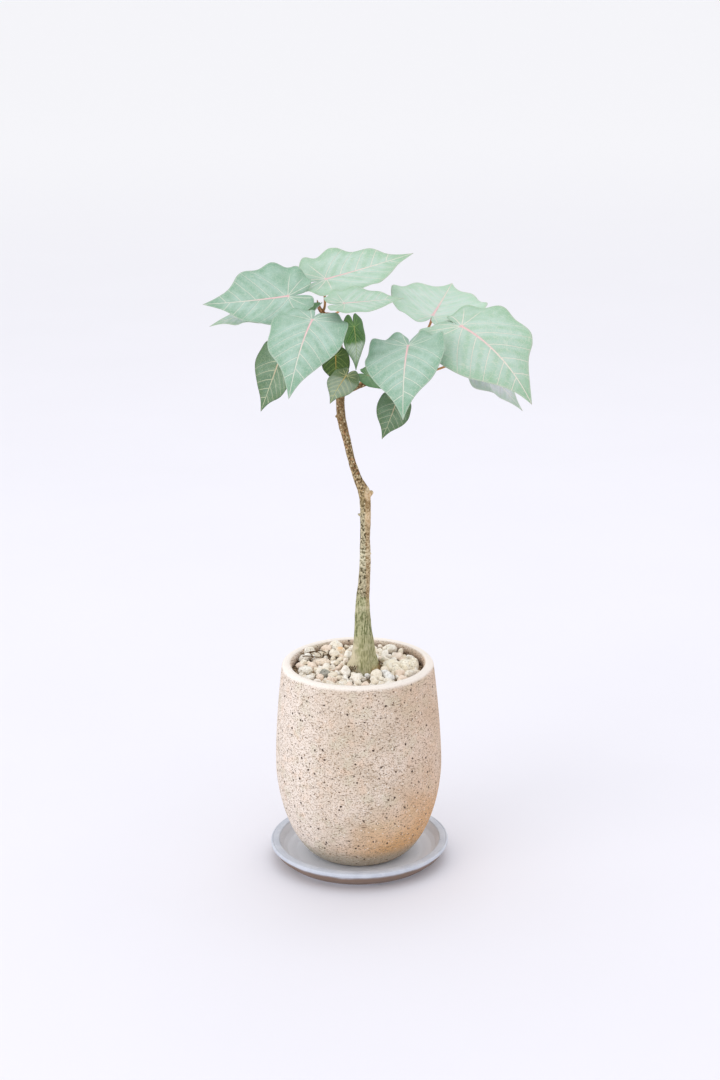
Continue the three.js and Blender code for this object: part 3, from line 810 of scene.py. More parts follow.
def stone_finish(name, low, high, dark):
    """Worn stone of one piece, darker in its pores."""
    material, shader, place = new_finish(name, 0.85, 0.25)
    cloud = place.cloud(4.0)
    body = cloud.ramp(0.35, 0.65).mix(low, high)
    pores = place.warped(1.5, 1.0).cloud(1.3, 4.0).ramp(0.56, 0.7)
    body = (pores * 0.5).mix(body, dark)
    feed(shader, Base_Color=body)
    feed(shader, Normal=(cloud * 0.5 - pores).relief(0.0005))
    return material


STONE_COLOURS = {
    "chalk": ("pale chalky stone", (240, 230, 208), (247, 241, 226), (196, 172, 138)),
    "white": ("white quartz", (240, 238, 234), (250, 249, 247), (208, 200, 190)),
    "cream": ("cream pumice", (240, 232, 216), (249, 245, 236), (200, 184, 160)),
    "peach": ("peach sandstone", (240, 222, 202), (247, 234, 218), (210, 176, 142)),
    "grey": ("worn grey stone", (150, 148, 138), (184, 182, 172), (122, 120, 112)),
}
STONE_LOOKS = {look: stone_finish(*colours) for look, colours in STONE_COLOURS.items()}
lumpy.data.materials.append(STONE_LOOKS["chalk"])
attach(lumpy, "root")
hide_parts("stone_pale")
for look in ("white", "cream", "peach", "grey"):
    balls = [ball_mesh(centre, radii) for centre, radii, kind in LOOSE_STONES if kind == look]
    stones = joined_smooth(f"{look}_stones", balls, STONE_VOXEL)
    roughen(stones, 4.5, 1.0)
    stones.data.materials.append(STONE_LOOKS[look])
    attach(stones, "root")
    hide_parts("stone_grey" if look == "grey" else "gravel")
    print(look, "stones have", len(stones.data.polygons), "faces")

# %% [markdown]
# ## Limbs
#
# The stem, its leader and its side branch each follow a smooth line through knots with a radius at each. The
# curve is the centripetal kind, which goes through every knot without loops where knots lie close. Blender's
# own curves have a bevel for this, but the stalks must leave the same line at known places, so it is worked
# out here.

# %% Line through knots
LIMBS = {
    "stem": [
        (7, 0, 147, 14.5), (7, 0, 158, 15.2), (6.6, 0, 168, 14.6), (6.4, 0, 178, 13.4), (5.6, 0, 188, 12.4),
        (5.4, 0, 198, 10.4), (5.4, 0, 209, 8.8), (4.9, 0, 227, 7.2), (5.1, 0, 246, 6), (6.6, 1, 265, 5.1),
        (7.6, 2, 284, 4.9), (7.7, 2, 302, 4.5), (8.2, 2, 320, 4.7), (8, 2, 338, 4.8), (6.7, 1, 347, 5.2),
        (2.6, 0, 356, 3.8), (-3.5, 0, 375, 3.1), (-7.4, 0, 393, 3.4), (-11.6, 0, 411, 3.8),
        (-12.6, 0, 429, 3.7), (-10.6, 0, 446, 3.6),
    ],
    "leader": [
        (-11.5, 0, 440, 3.4), (-10.3, 0, 452, 3.3), (-13.2, 1, 476, 3), (-19, 2, 494, 2.6),
        (-28.5, 2, 507, 1.9),
    ],
    "branch": [
        (-12.4, 0, 432, 2.2), (-4, 0, 437.5, 2.5), (10, 1, 443, 2.4), (28, 2, 447, 2.3), (46, 3, 457, 2.2),
        (60, 3, 477, 1.8),
    ],
}


def limb_point(knots, share):
    """Place on a limb's line, from 0 at its first knot to 1 at its last, and the radius there."""
    spot = min(share * (len(knots) - 1), len(knots) - 1 - 1e-9)
    index = int(spot)
    rest = spot - index
    line = [np.array(knot[:3], float) for knot in knots]
    line = [2 * line[0] - line[1], *line, 2 * line[-1] - line[-2]]
    p0, p1, p2, p3 = line[index:index + 4]
    d0, d1, d2 = (np.linalg.norm(b - a) ** 0.5 for a, b in ((p0, p1), (p1, p2), (p2, p3)))
    leave = ((p1 - p0) / d0 - (p2 - p0) / (d0 + d1) + (p2 - p1) / d1) * d1
    arrive = ((p2 - p1) / d1 - (p3 - p1) / (d1 + d2) + (p3 - p2) / d2) * d1
    square = rest * rest
    cube = square * rest
    place = p1 + leave * rest + (3 * (p2 - p1) - 2 * leave - arrive) * square
    place = place + (2 * (p1 - p2) + leave + arrive) * cube
    radius = knots[index][3] + (knots[index + 1][3] - knots[index][3]) * rest
    return place, radius


def limb_tangent(knots, share):
    """Direction of a limb's line."""
    ahead = limb_point(knots, min(share + 1e-4, 1.0))[0]
    behind = limb_point(knots, max(share - 1e-4, 0.0))[0]
    return (ahead - behind) / np.linalg.norm(ahead - behind)


def tube_faces(sides, rings):
    """Faces of a closed tube: its wall, ring by ring, and its two ends."""
    wall = [
        [i * sides + k, i * sides + (k + 1) % sides, (i + 1) * sides + (k + 1) % sides, (i + 1) * sides + k]
        for i in range(rings) for k in range(sides)
    ]
    return [*wall, list(reversed(range(sides))), list(range(rings * sides, (rings + 1) * sides))]


def limb_mesh(knots, sides, rings, ridge=None):
    """Points in metres and faces of a closed tube along a limb."""
    points = []
    for i in range(rings + 1):
        centre, radius = limb_point(knots, i / rings)
        along = limb_tangent(knots, i / rings)
        side = np.cross((0.0, 1.0, 0.0), along)
        side /= np.linalg.norm(side)
        front = np.cross(along, side)
        for k in range(sides):
            angle = 2 * math.pi * k / sides
            reach = radius * (ridge(angle, centre[2]) if ridge else 1.0)
            points.append((centre + reach * (math.cos(angle) * side + math.sin(angle) * front)) * MM)
    return points, tube_faces(sides, rings)


print("Top of the stem:", limb_point(LIMBS["stem"], 1.0)[0])

# %% [markdown]
# ## Trunk
#
# The stem is swollen at its foot, where short roots go down beside it. Further up are the stubs of lost side
# shoots and a hard bend where the top was once cut. All of it grew as one, so the tubes are grown together
# with a voxel remesh, and noise drawn out along the stem gives the low ribs of the bark.

# %% Trunk
BARK_VOXEL = 0.00055
RIBS_START = 150
RIBS_END = 500
RIB_WIDTH = 2.2
RIB_LENGTH = 16
STUBS = [
    ((9, 1, 341, 3), (14.2, -1.5, 346.5, 1.8)),
    ((-11, 0, 412, 1.9), (-17, -2, 415, 0.9)),
    ((-1, 0, 439, 1.8), (4.5, -3.6, 441, 1.3)),
    ((7, 2, 322, 1.8), (1.6, 0.2, 326, 0.8)),
    ((7, 1, 286, 1.9), (12.8, -0.6, 290, 0.8)),
]
BUD = [(-28, 2, 506, 1.9), (-30, 1.8, 510, 1.7), (-31.4, 1.5, 516, 0.4)]
SIDE_ROOTS = [(190, 19.5, 3.6), (262, 17, 3), (318, 17.5, 3.6), (28, 17.2, 3.2), (112, 17.4, 3.4)]


def crown_ridge(angle, height):
    """How far the foot's ribs stand out, fading with height."""
    fade = min(max((232 - height) / 62, 0), 1)
    return 1 + fade * (0.06 * math.cos(5 * angle + 0.6) + 0.03 * math.cos(8 * angle + 2))


def root_knots(degrees, reach, foot):
    """Knots of one side root, from the stem down into the mix."""
    angle = math.radians(degrees)
    spots = ((5, 200, 0.5), (reach - 6.5, 186, 0.9), (reach - 5, 176, 1.0), (reach - 8, 163, 0.7))
    return [(6.4 + r * math.cos(angle), r * math.sin(angle), z, foot * share) for r, z, share in spots]


def trunk_tubes():
    """Every tube of the trunk as (points, faces)."""
    tubes = [
        limb_mesh(LIMBS["stem"], 48, 300, crown_ridge),
        limb_mesh(LIMBS["leader"], 32, 70),
        limb_mesh(LIMBS["branch"], 32, 90),
        limb_mesh(BUD, 20, 16),
    ]
    tubes += [limb_mesh(root_knots(*root), 24, 40) for root in SIDE_ROOTS]
    for foot, end in STUBS:
        middle = tuple((a + b) / 2 for a, b in zip(foot, end))
        tubes.append(limb_mesh([foot, middle, end], 20, 10))
    return tubes


trunk = joined_smooth("bark", trunk_tubes(), BARK_VOXEL)
normals = [vertex.normal.copy() for vertex in trunk.data.vertices]
for vertex, normal in zip(trunk.data.vertices, normals):
    place = vertex.co / MM
    if RIBS_START < place.z < RIBS_END:
        ribs = noise.noise(Vector((place.x / RIB_WIDTH, place.y / RIB_WIDTH, place.z / RIB_LENGTH)))
        lumps = noise.noise(place / 5.0)
        foot_share = min(max((240 - place.z) / 50, 0), 1)
        vertex.co += normal * (ribs * (0.16 + 0.34 * foot_share) + lumps * 0.22) * MM
print("Trunk faces:", len(trunk.data.polygons))

# %% [markdown]
# ## Bark
#
# The bark changes with age. The foot is smooth and grey-green with fine upright hairs and a pale left side,
# then come olive, spotted and wrinkled lengths, a pale scar, and a brown young top with pale marks. One
# finish does them all: the height on the stem chooses between them, and noise moves the limits so that no
# ring shows.

# %% Bark finish


def bark_finish():
    """Hairy grey-green at the foot, spotted olive and tan in the middle and brown above."""
    material, shader, place = new_finish("fig bark", 0.88, 0.25)
    x, y, z = place.split()
    high = z + place.cloud(9.0) * 24.0 - 12.0
    blotch = place.cloud(5.0)
    hairs = place.times((1.0, 1.0, 0.08)).cloud(0.9, 4.0)
    foot = coated(
        hairs.ramp(0.3, 0.66).mix((116, 118, 76), (184, 180, 142)),
        (blotch.ramp(0.45, 0.7) * 0.4, (206, 200, 168)),
        ((blotch * 14.0 - x * 0.8 + (200.0 - z) * 0.1).ramp(4.0, 12.0) * 0.7, (222, 210, 184)),
    )
    flakes = place.times((1.0, 1.0, 0.75)).warped(2.0, 1.5).cloud(1.5, 4.0)
    olive = (hairs * 0.6 + flakes * 0.4).ramp(0.38, 0.6).mix((92, 100, 56), (184, 182, 144))
    spotted = flakes.ramp(0.41, 0.55).mix((76, 66, 42), (187, 177, 146))
    rings = place.times((0.3, 0.3, 1.3)).warped(3.0, 2.0).cloud(1.7, 2.0)
    wrinkled = (rings * 0.6 + flakes * 0.4).ramp(0.44, 0.56).mix((112, 104, 76), (220, 213, 184))
    tan = flakes.ramp(0.38, 0.6).mix((106, 88, 58), (174, 154, 114))
    upper = coated(
        flakes.ramp(0.4, 0.6).mix((88, 70, 42), (182, 160, 122)),
        (z.ramp(372.0, 410.0) * 0.4, (112, 82, 44)),
        (place.cloud(3.0).ramp(0.54, 0.66) * 0.5, (176, 112, 70)),
    )
    twig = blotch.ramp(0.4, 0.7).mix((146, 106, 68), (186, 146, 104))
    bands = place.times((0.3, 0.3, 1.0)).cloud(9.0)
    middle = high.ramp(228.0, 240.0) * high.ramp(345.0, 335.0)
    marks = speckle(place.warped(1.5, 1.0), 2.8, 0.27, 0.6) * high.ramp(225.0, 260.0)
    scar = length(x - 11.4, (z - 322.0) * 0.55, y + 1.6) + blotch * 4.0 + flakes * 5.0
    knuckle = length(x - 12.6, (z - 345.0) * 0.8, y + 1.5) + flakes * 3.0
    callus = flakes.ramp(0.35, 0.6).mix((196, 170, 130), (236, 218, 186))
    edge = (x - 4.6 + blotch * 3.0 + flakes * 2.0).ramp(5.4, 6.6) * high.ramp(224.0, 250.0)
    rust = (x * 0.5 - y * 0.2 + blotch * 10.0).ramp(12.0, 15.0) * z.ramp(190.0, 181.0)
    body = coated(
        foot,
        (high.ramp(206.0, 218.0), olive),
        (high.ramp(246.0, 256.0), spotted),
        (high.ramp(272.0, 278.0), wrinkled),
        (high.ramp(294.0, 302.0), spotted),
        (high.ramp(326.0, 336.0), tan),
        (high.ramp(344.0, 354.0), upper),
        (high.ramp(436.0, 456.0), twig),
        (bands.ramp(0.54, 0.68) * middle * 0.35, (212, 204, 174)),
        (bands.ramp(0.46, 0.34) * middle * 0.4, (96, 88, 60)),
        (marks * 0.85, (228, 214, 180)),
        (scar.ramp(9.0, 7.6) * 0.75, callus),
        (knuckle.ramp(8.0, 6.2) * 0.75, callus),
        (edge * high.ramp(352.0, 340.0) * 0.3, (196, 150, 100)),
        (rust * 0.6, (184, 124, 66)),
    )
    cracks = place.times((1.0, 1.0, 0.5)).cells(3.0, "Distance", "DISTANCE_TO_EDGE").ramp(0.0, 0.12)
    height = hairs * 0.6 + blotch * 0.4 + cracks * 0.3 * z.ramp(230.0, 270.0) + marks * 0.5
    height = height + rings * high.ramp(270.0, 278.0) * high.ramp(302.0, 294.0)
    feed(shader, Base_Color=body)
    feed(shader, Normal=height.relief(0.0006))
    return material


trunk.data.materials.append(bark_finish())
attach(trunk, "root")
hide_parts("trunk")
print("Bark finish:", trunk.data.materials[0].name)

# %% [markdown]
# ## Rootlets
#
# Where the stem meets the pebbles a fringe of fine dry roots hangs down its foot, and a few curl over the
# stones on the left. Hair particles could draw such a fringe, but a handful of bowed tubes costs little and
# stays put.

# %% Rootlets


def fringe_root(degrees, number):
    """One fine root that leaves the stem's foot at this angle and ends among the pebbles."""
    angle = math.radians(degrees)
    sway = [0.05 * math.sin(number * 2.4 + step * 1.9) for step in range(4)]
    spots = (
        (12.6, 188, 0.4), (15.0, 185.5, 0.4), (17.0 + number % 3, 183, 0.35), (18.5 + number % 4, 179, 0.3),
    )
    return [
        (CROWN.x + reach * math.cos(angle + turn), reach * math.sin(angle + turn), height, radius)
        for (reach, height, radius), turn in zip(spots, sway)
    ]


def curled_root(centre, radii, start, end, height):
    """One fine root that lies over the stones in part of an oval."""
    knots = []
    for step in range(9):
        angle = math.radians(start + (end - start) * step / 8)
        rise = 1.2 * math.sin(step * 1.3)
        knots.append((centre[0] + radii[0] * math.cos(angle), centre[1] + radii[1] * math.sin(angle),
                      height + rise, 0.5 - 0.02 * step))
    return knots


def rootlet_finish():
    """Dry dark brown root."""
    material, shader, place = new_finish("dry rootlets", 0.8, 0.25)
    body = place.cloud(1.5).ramp(0.35, 0.65).mix((78, 60, 42), (128, 102, 72))
    feed(shader, Base_Color=body)
    return material


fringe_angles = (196, 206, 214, 223, 236, 14, 340)
root_lines = [fringe_root(degrees, number) for number, degrees in enumerate(fringe_angles)]
root_lines += [
    curled_root((-42, 22), (9, 6.5), -150, 140, 187.2),
    curled_root((-40, 24), (12, 4.5), 20, 250, 187.8),
    curled_root((-46, 18), (6, 9), -60, 120, 186.6),
]
rootlets = joined("rootlets", [limb_mesh(line, 8, 30) for line in root_lines])
rootlets.data.materials.append(rootlet_finish())
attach(rootlets, "root")
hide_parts("trunk")
print("Rootlets:", len(root_lines))

# %% [markdown]
# ## Leaves
#
# A leaf is heart-shaped, with a notch where its stalk joins, a drawn-out tip and an edge that ripples.
# Sculpting sixteen of them would take days, and copies of one would all hang alike. So one rule draws every
# blade: the edge's distance from the stalk at each angle, then a fold along the midrib, a droop from stalk to
# tip and the ripple. The numbers for each leaf are the drawing's own.

# %% The leaves' numbers
LEAF_COLUMNS = (
    "limb", "at", "stalk", "top", "azimuth", "pitch", "roll", "length", "width", "bend", "fold", "look",
    "wave", "scallop", "waves", "phase",
)
LEAF_ROWS = [
    ("leader", 0.9, 1.3, (-56, -6, 520.6), 184, 7, -37, 72.6, 0.99, -8, 11, "calm", 2.1, 0.02, 9, 0.8),
    ("leader", 0.78, 1.2, (-72, 10, 504.5), 186, 3, -12, 54, 0.9, 20, 4, "misty", 1.6, 0.03, 8, 1.2),
    ("leader", 0.72, 1.4, (-34.5, -56, 509.6), -105, 17, -8, 80.9, 0.84, 57, -5, "calm", 1.3, 0.03, 8, 0.5),
    ("leader", 0.97, 1.3, (-23.5, 23, 529.8), 21, -10, 15, 82.7, 1.03, -4, 7, "sunlit", 2, 0.04, 9, 4.6),
    ("leader", 0.925, 1.1, (-8.1, -36, 519.6), 10, -2, 14, 51, 1.05, -1, 7, "sunlit", 0.9, 0.04, 8, 5.7),
    ("branch", 0.99, 1.3, (68, 20, 497.8), 76, -8, 10, 81.8, 1.09, -4, 16, "bright", 1.3, 0.03, 9, 4.4),
    ("branch", 0.93, 1.4, (90.6, -22, 496.3), -47, 13, 18, 95.7, 1.02, 57, -4, "sunlit", 1.9, 0.03, 8, 2.1),
    ("branch", 0.76, 1.2, (101.3, 26, 460.6), -27, 38, 2, 66.6, 0.91, 8, -10, "silver", 3.2, 0.03, 9, 6.1),
    ("branch", 0.66, 1.4, (44.9, -48, 485.4), -98, 16, 7, 83.1, 0.86, 40, 8, "calm", 2.7, 0.02, 7, 1.2),
    ("leader", 0.58, 0.9, (-0.2, -18, 496), -48, 78, -16, 37.2, 0.99, 14, -4, "half", 0.2, 0.02, 7, 1.2),
    ("leader", 0.52, 0.8, (-16, -6, 468.5), -68, 90, 25, 27.3, 0.95, 10, 1, "deep", 0.6, 0.01, 7, 1.3),
    ("branch", 0.17, 0.8, (-7.2, -27, 455.7), -130, 35, -18, 28.8, 1.01, 26, -9, "pale", 0.6, 0.01, 7, 1.7),
    ("leader", 0.42, 1.1, (-63.7, -16, 468), 154, 68, -67, 50.9, 0.98, -1, 10, "dusky", 0.3, 0.01, 7, 2.5),
    ("branch", 0.55, 0.9, (35.3, -16, 429.5), -110, 35, -30, 36.9, 0.86, 30, 0, "dusky", 0.6, 0.01, 7, 1.4),
    ("branch", 0.33, 0.8, (11.1, -9, 452.1), -24, 17, 27, 29.9, 0.83, 12, 2, "green", 0.6, 0.01, 7, 0.2),
    ("leader", 0.985, 0.7, (-31, -7, 511), 215, 38, 10, 18, 0.8, 8, 30, "green", 0.2, 0.03, 6, 0),
]
LEAVES = [dict(zip(LEAF_COLUMNS, row)) for row in LEAF_ROWS]
print("Leaves:", len(LEAVES))

# %% [markdown]
# ## Veins
#
# From the stalk a midrib runs to the tip. Pairs of side veins leave it at about 60 degrees and curve towards
# the tip, the lowest pair from the stalk itself, and a few more fan out into the two lobes. The finish draws
# them from each point's own place on the flat leaf. The mesh uses the same rule, because the blade swells a
# little between two side veins.

# %% Blade rule
VEIN_PAIRS = 4
VEIN_GAP = 0.175
VEIN_SLANT = 0.58
VEIN_CURVE = 0.75
VEIN_STAGGER = 0.022
HALF_THICK = 0.28


def blade_axes(leaf):
    """Along the midrib, to its left, and out of the upper face."""
    azimuth, pitch, roll = (math.radians(leaf[key]) for key in ("azimuth", "pitch", "roll"))
    level = np.array((-math.sin(azimuth), math.cos(azimuth), 0.0))
    heading = np.array((math.cos(azimuth), math.sin(azimuth), 0.0))
    along = heading * math.cos(pitch) - np.array((0.0, 0.0, math.sin(pitch)))
    above = np.cross(along, level)
    left = level * math.cos(roll) + above * math.sin(roll)
    up = above * math.cos(roll) - level * math.sin(roll)
    return along, left, up


def blade_flat(leaf, share, angle):
    """Place on the flat leaf in shares of its length, and the ripple there."""
    turn = np.arccos(np.clip(np.cos(angle), -1, 1))
    body = 0.3 + 0.095 * np.sin(turn) + 0.375 * np.exp(-((turn / 1.1) ** 2))
    edge = body * (1 - np.exp(-(math.pi - turn + 0.02) / 0.15)) + 0.325 * np.exp(-turn / 0.14)
    calm = np.minimum(1, np.minimum(turn / 0.5, (math.pi - turn) / 0.4))
    ripple = calm * np.sin(leaf["waves"] * angle + leaf["phase"])
    reach = edge * share * (1 + leaf["scallop"] * share ** 2 * ripple)
    return reach * np.cos(angle), reach * np.sin(angle), ripple


def quilt(along, across, share):
    """How far the blade swells between two side veins, from 0 at a vein."""
    slant = along - VEIN_SLANT * abs(across) - VEIN_CURVE * across ** 2 + VEIN_STAGGER * np.sign(across)
    swell = np.abs(np.sin(math.pi * np.clip(slant / VEIN_GAP, 0, VEIN_PAIRS)))
    return swell * np.clip(abs(across) / 0.12, 0, 1) * (1 - share ** 3)


def blade_point(leaf, axes, share, angle, offset):
    """Places in millimetres on the blade, at an offset above its middle surface."""
    along, across, ripple = blade_flat(leaf, share, angle)
    span = leaf["length"]
    x = along * span
    y = across * span * leaf["width"]
    soft = 0.08 * span
    lift = math.tan(math.radians(leaf["fold"])) * (np.hypot(y, soft) - soft)
    lift = lift + leaf["wave"] * share ** 3 * ripple + 0.011 * span * quilt(along, across, share) + offset
    curl = math.radians(leaf["bend"]) / span
    turn = curl * x
    forward = np.sin(turn) / curl + lift * np.sin(turn)
    rise = (np.cos(turn) - 1) / curl + lift * np.cos(turn)
    moves = (np.multiply.outer(amount, axis) for amount, axis in zip((forward, y, rise), axes))
    return sum(moves, np.array(leaf["top"]))


# %% Blade mesh
BOX_ROOM = 0.00002
LARGE_LEAF = 50
LARGE_GRID = (200, 26)
SMALL_GRID = (120, 16)


def blade_object(name, leaf, finishes):
    """One blade as a thin closed mesh. Each point keeps its place on the flat leaf for the veins."""
    axes = blade_axes(leaf)
    sides, rings = LARGE_GRID if leaf["length"] > LARGE_LEAF else SMALL_GRID
    turn = np.linspace(-1, 1, sides, endpoint=False)
    angles = math.pi * turn - 0.3 * np.sin(2 * math.pi * turn)
    shares = np.linspace(0, 1, rings + 1)[1:] ** 0.9
    share, angle = (grid.ravel() for grid in np.meshgrid(shares, angles, indexing="ij"))
    share, angle = (np.append(0.0, values) for values in (share, angle))
    half = HALF_THICK * (1 - 0.6 * share ** 8)
    upper = blade_point(leaf, axes, share, angle, half)
    under = blade_point(leaf, axes, share, angle, -half)
    count = len(upper)
    faces = []
    for k in range(sides):
        after = (k + 1) % sides
        faces.append((0, 1 + k, 1 + after))
        for ring in range(rings - 1):
            low, high = 1 + ring * sides, 1 + (ring + 1) * sides
            faces.append((low + k, high + k, high + after, low + after))
    below = [tuple(corner + count for corner in reversed(face)) for face in faces]
    rim = 1 + (rings - 1) * sides
    pairs = [(rim + k, rim + (k + 1) % sides) for k in range(sides)]
    edge = [(here, here + count, after + count, after) for here, after in pairs]
    points = np.vstack([upper, under]) * MM
    points = np.clip(points, np.array(cad_low) + BOX_ROOM, np.array(cad_high) - BOX_ROOM)
    made = mesh_object(name, points, faces + below + edge)
    mesh = made.data
    mesh.polygons.foreach_set("material_index", [0] * len(faces) + [1] * len(below) + [0] * len(edge))
    along, across, _ = blade_flat(leaf, share, angle)
    flat = np.column_stack([along, across, share])
    place = mesh.attributes.new("leaf_place", "FLOAT_VECTOR", "POINT")
    place.data.foreach_set("vector", np.vstack([flat, flat]).ravel())
    for finish in finishes:
        mesh.materials.append(finish)
    return made


# %% [markdown]
# ## Leaf finish
#
# Leaves have a blue-green wax on them, with a greener edge and tip. Those in the shade of others are painted
# darker, as painted shade, and a few are painted lighter, as painted light. Veins are cream, and the midrib
# is pink from the stalk on. One rule takes the colours of each kind, so all the leaves belong together. The
# underside is paler and duller.

# %% Leaf finish


def vein_map(start, wide):
    """Place on the flat leaf, then from 0 to 1 the valleys between veins, the side veins and the midrib."""
    place = start.node("ShaderNodeAttribute", {"attribute_name": "leaf_place"}, {}, "Vector")
    along, across, share = place.split()
    side = across.math("ABSOLUTE")
    slant = along - side * VEIN_SLANT - side * side * VEIN_CURVE + across.math("SIGN") * VEIN_STAGGER
    pair = (slant / VEIN_GAP).math("ROUND").math("MAXIMUM", 0.0).math("MINIMUM", float(VEIN_PAIRS))
    off = (slant - pair * VEIN_GAP).math("ABSOLUTE")
    thin = (0.0046 - side * 0.005) * wide
    laterals = off.ramp(thin * 1.7, thin * 0.7)
    valley = off.ramp(0.035, 0.08)
    reach = (along * along + side * side).math("SQRT")
    spoke = side.math("ARCTAN2", along) - reach * 0.25
    lobes = laterals * 0.0
    for degrees in (98.0, 128.0, 155.0):
        gap = (spoke - math.radians(degrees)).math("ABSOLUTE") * reach
        lobes = lobes.math("MAXIMUM", gap.ramp(0.0068 * wide, 0.0026 * wide) * reach.ramp(0.36, 0.2))
    width = (0.0175 - along * 0.0135) * (0.6 + 0.4 * wide)
    midrib = side.ramp(width, width * 0.45) * along.ramp(-0.01, 0.0)
    laterals = laterals.math("MAXIMUM", lobes)
    return place, along, share, reach, valley, laterals, midrib


def leaf_finish(name, face, cloud_face, edge, vein, blush, roughness,
                faint=0.26, strong=0.8, wide=1.0, hem=None, far=None, far_at=0.42):
    """The finish of one face of a leaf. Far is the colour of its outer part, if that differs."""
    material, shader, place = new_finish(name, roughness, 0.3)
    flat, along, share, reach, valley, laterals, midrib = vein_map(place, wide)
    body = place.cloud(16.0).ramp(0.3, 0.7).mix(face, cloud_face)
    if far:
        body = (along + place.cloud(5.0) * 0.1 - 0.05).ramp(far_at, far_at + 0.12).mix(body, far)
    body = (valley * (place.cloud(7.0).ramp(0.25, 0.75) * 0.5 + 0.1)).mix(body, edge)
    margin = (share + place.cloud(6.0) * 0.3 - 0.15).ramp(0.72, 1.05) * 0.75
    margin = margin.math("MAXIMUM", along.ramp(0.62, 0.95) * 0.8)
    body = margin.mix(body, edge)
    net = flat.cells(0.05, "Distance", "DISTANCE_TO_EDGE").ramp(0.07, 0.02)
    weave = flat.cells(0.022, "Distance", "DISTANCE_TO_EDGE").ramp(0.1, 0.03)
    pink = along.ramp(0.62, 0.12).math("MAXIMUM", reach.ramp(0.06, 0.02))
    body = coated(
        body,
        (net * faint + weave * faint * 0.4, vein),
        (laterals * strong, vein),
        (midrib.math("MAXIMUM", reach.ramp(0.028, 0.012)), pink.mix(vein, blush)),
        (share.ramp(0.965, 0.99) * (0.55 if hem else 0.28), hem or vein),
    )
    height = place.cloud(1.2) * 0.25 - laterals * 0.5 - midrib * 0.7 - net * 0.2
    feed(shader, Base_Color=body)
    feed(shader, Roughness=roughness + place.cloud(9.0) * 0.1)
    feed(shader, Normal=height.relief(0.0004))
    return material


CREAM = (230, 226, 212)
PINK = (231, 195, 194)
DARK_HEM = (62, 88, 62)
LOOKS = {
    "beneath": leaf_finish(
        "pale leaf underside", (178, 194, 188), (190, 202, 200), (160, 186, 158), (214, 220, 206),
        (222, 180, 170), 0.7),
    "sunlit": leaf_finish(
        "waxy sunlit leaf", (171, 201, 183), (184, 209, 196), (142, 184, 148), CREAM, PINK, 0.5),
    # Painted light: a lighter copy of the sunlit leaf, for a leaf in full light.
    "bright": leaf_finish(
        "waxy leaf with painted full light", (188, 215, 200), (200, 221, 210), (166, 205, 174), CREAM, PINK, 0.5,
        strong=0.55),
    # Painted shade: a darker copy of the sunlit leaf.
    "calm": leaf_finish(
        "waxy leaf with painted shade", (153, 186, 167), (168, 197, 184), (118, 162, 132), (220, 225, 210),
        PINK, 0.5),
    "misty": leaf_finish(
        "waxy leaf in half shade", (170, 196, 186), (190, 204, 206), (140, 178, 142), CREAM, PINK, 0.55),
    # Painted light: painted lighter than the leaf's own colour, against the shade of the leaf above it.
    "silver": leaf_finish(
        "silvery leaf under another with painted light", (194, 203, 204), (208, 213, 218), (162, 190, 168), CREAM, PINK, 0.55,
        strong=0.4),
    # Painted shade: a dark copy for hanging leaves in the shade of others.
    "dusky": leaf_finish(
        "grey-green hanging leaf with painted shade", (86, 120, 94), (112, 142, 118), (76, 112, 68), (200, 206, 170),
        (208, 190, 160), 0.5, faint=0.3, wide=1.5, hem=DARK_HEM),
    "deep": leaf_finish(
        "deep green shaded leaf", (52, 84, 32), (84, 110, 52), (44, 74, 30), (150, 170, 92),
        (196, 160, 80), 0.45, faint=0.3, wide=1.7, hem=DARK_HEM),
    # Painted shade on the upper part, and painted light on the outer part that bends into the light.
    "half": leaf_finish(
        "deep leaf with a waxy end", (40, 96, 30), (66, 118, 44), (100, 140, 92), (150, 186, 104),
        (170, 176, 100), 0.45, faint=0.3, wide=1.5, hem=DARK_HEM, far=(204, 220, 206), far_at=0.32),
    # Painted shade: dark by the stalk and grey-green beyond.
    "pale": leaf_finish(
        "waxy hanging leaf with painted shade", (74, 102, 62), (96, 122, 80), (110, 138, 106), (214, 214, 160),
        (216, 190, 120), 0.5, faint=0.35, wide=1.9, hem=DARK_HEM, far=(160, 178, 164), far_at=0.06),
    "green": leaf_finish(
        "young green leaf", (126, 170, 122), (150, 188, 150), (104, 156, 98), (180, 204, 150),
        (206, 186, 150), 0.5, wide=1.5, hem=DARK_HEM),
}
for number, leaf in enumerate(LEAVES, 1):
    blade = blade_object(f"leaf_{number:02d}", leaf, (LOOKS[leaf["look"]], LOOKS["beneath"]))
    node = f"blade_{number:02d}"
    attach(blade, "root")
    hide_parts(node)
    "shaded_leaf" if number in (10, 11, 14, 16) else "glaucous_leaf"
    places = np.array([vertex.co for vertex in blade.data.vertices])
    low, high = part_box(node)
    off = max(np.abs(places.min(0) - low).max(), np.abs(places.max(0) - high).max())
    print(f"{blade.name}: {len(blade.data.polygons)} faces, {off / MM:.2f} mm off the solid's box")

# %% [markdown]
# ## Leaf stalks
#
# Each blade hangs on an orange-brown stalk that leaves the side of a limb and bends up under the notch. A
# curve with a round bevel would do, but the stalk is thicker at both ends, and it must end at the same spot
# as in the drawing, so its rings are set along a Bezier line here.

# %% Stalks
STALK_SUNK = 0.6


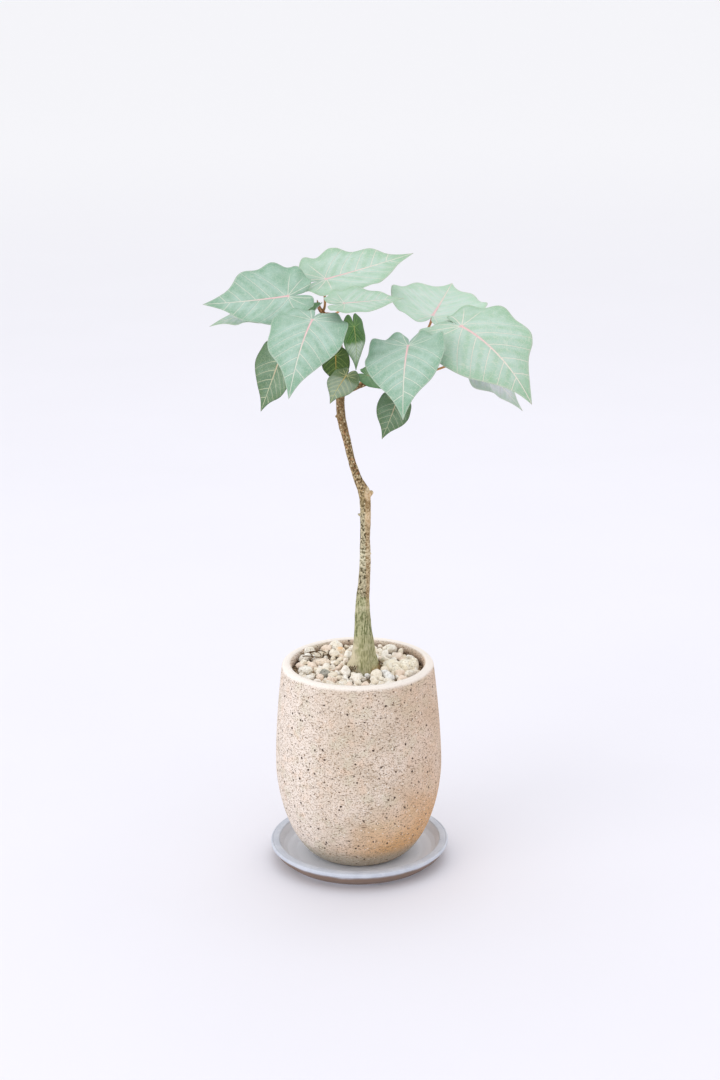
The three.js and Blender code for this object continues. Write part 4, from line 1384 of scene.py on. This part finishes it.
def stalk_line(leaf, steps):
    """Places along a stalk from its limb to its blade, in millimetres."""
    ahead, _, up = blade_axes(leaf)
    knots = LIMBS[leaf["limb"]]
    arrive = 0.45 * ahead + 0.9 * up
    arrive /= np.linalg.norm(arrive)
    top = np.array(leaf["top"]) - arrive * (HALF_THICK + 0.35 * leaf["stalk"]) / arrive.dot(up)
    centre, radius = limb_point(knots, leaf["at"])
    tangent = limb_tangent(knots, leaf["at"])
    leave = top - centre
    leave -= tangent * leave.dot(tangent)
    leave /= np.linalg.norm(leave)
    foot = centre + leave * (radius - STALK_SUNK)
    span = np.linalg.norm(top - foot)
    handles = (foot, foot + leave * span * 0.3, top - arrive * span * 0.35, top)
    shares = np.linspace(0, 1, steps + 1)[:, None]
    weights = ((1 - shares) ** 3, 3 * (1 - shares) ** 2 * shares, 3 * (1 - shares) * shares ** 2, shares ** 3)
    return sum(weight * handle for weight, handle in zip(weights, handles))


def stalk_object(name, leaf):
    """A tapering closed tube along the stalk's line, which keeps its share of the way as an attribute."""
    steps = 36
    sides = 14
    line = stalk_line(leaf, steps)
    tangents = np.gradient(line, axis=0)
    side = np.cross(tangents[0], (0.31, 0.17, 0.93))
    points = []
    for i, centre in enumerate(line):
        along = tangents[i] / np.linalg.norm(tangents[i])
        side = side - along * side.dot(along)
        side /= np.linalg.norm(side)
        front = np.cross(along, side)
        share = i / steps
        swell = 0.82 + 0.22 * abs(2 * share - 1) ** 4
        for k in range(sides):
            angle = 2 * math.pi * k / sides
            reach = leaf["stalk"] * swell * (1 - 0.05 * math.cos(3 * angle))
            points.append((centre + reach * (math.cos(angle) * side + math.sin(angle) * front)) * MM)
    made = mesh_object(name, points, tube_faces(sides, steps))
    way = made.data.attributes.new("way", "FLOAT", "POINT")
    way.data.foreach_set("value", [i // sides / steps for i in range(len(points))])
    return made


def stalk_finish():
    """Brown at the limb, orange in the middle and pinkish under the blade, with pale dots."""
    material, shader, place = new_finish("leaf stalk", 0.5, 0.4)
    way = place.node("ShaderNodeAttribute", {"attribute_name": "way"}, {}, "Fac")
    dots = speckle(place, 2.0, 0.2, 0.4)
    feed(shader, Base_Color=coated(
        way.ramp(0.0, 0.35).mix((158, 114, 72), (204, 144, 92)),
        (way.ramp(0.6, 1.0), (218, 146, 118)),
        (place.cloud(2.5).ramp(0.35, 0.7) * 0.4, (166, 136, 78)),
        (dots * 0.5, (222, 190, 150)),
    ))
    feed(shader, Normal=(place.cloud(0.8) + dots * 0.5).relief(0.0002))
    return material


stalk_look = stalk_finish()
for number, leaf in enumerate(LEAVES, 1):
    stalk = stalk_object(f"leafstalk_{number:02d}", leaf)
    stalk.data.materials.append(stalk_look)
    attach(stalk, "root")
    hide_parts(f"stalk_{number:02d}")
print("Stalks:", len(LEAVES))
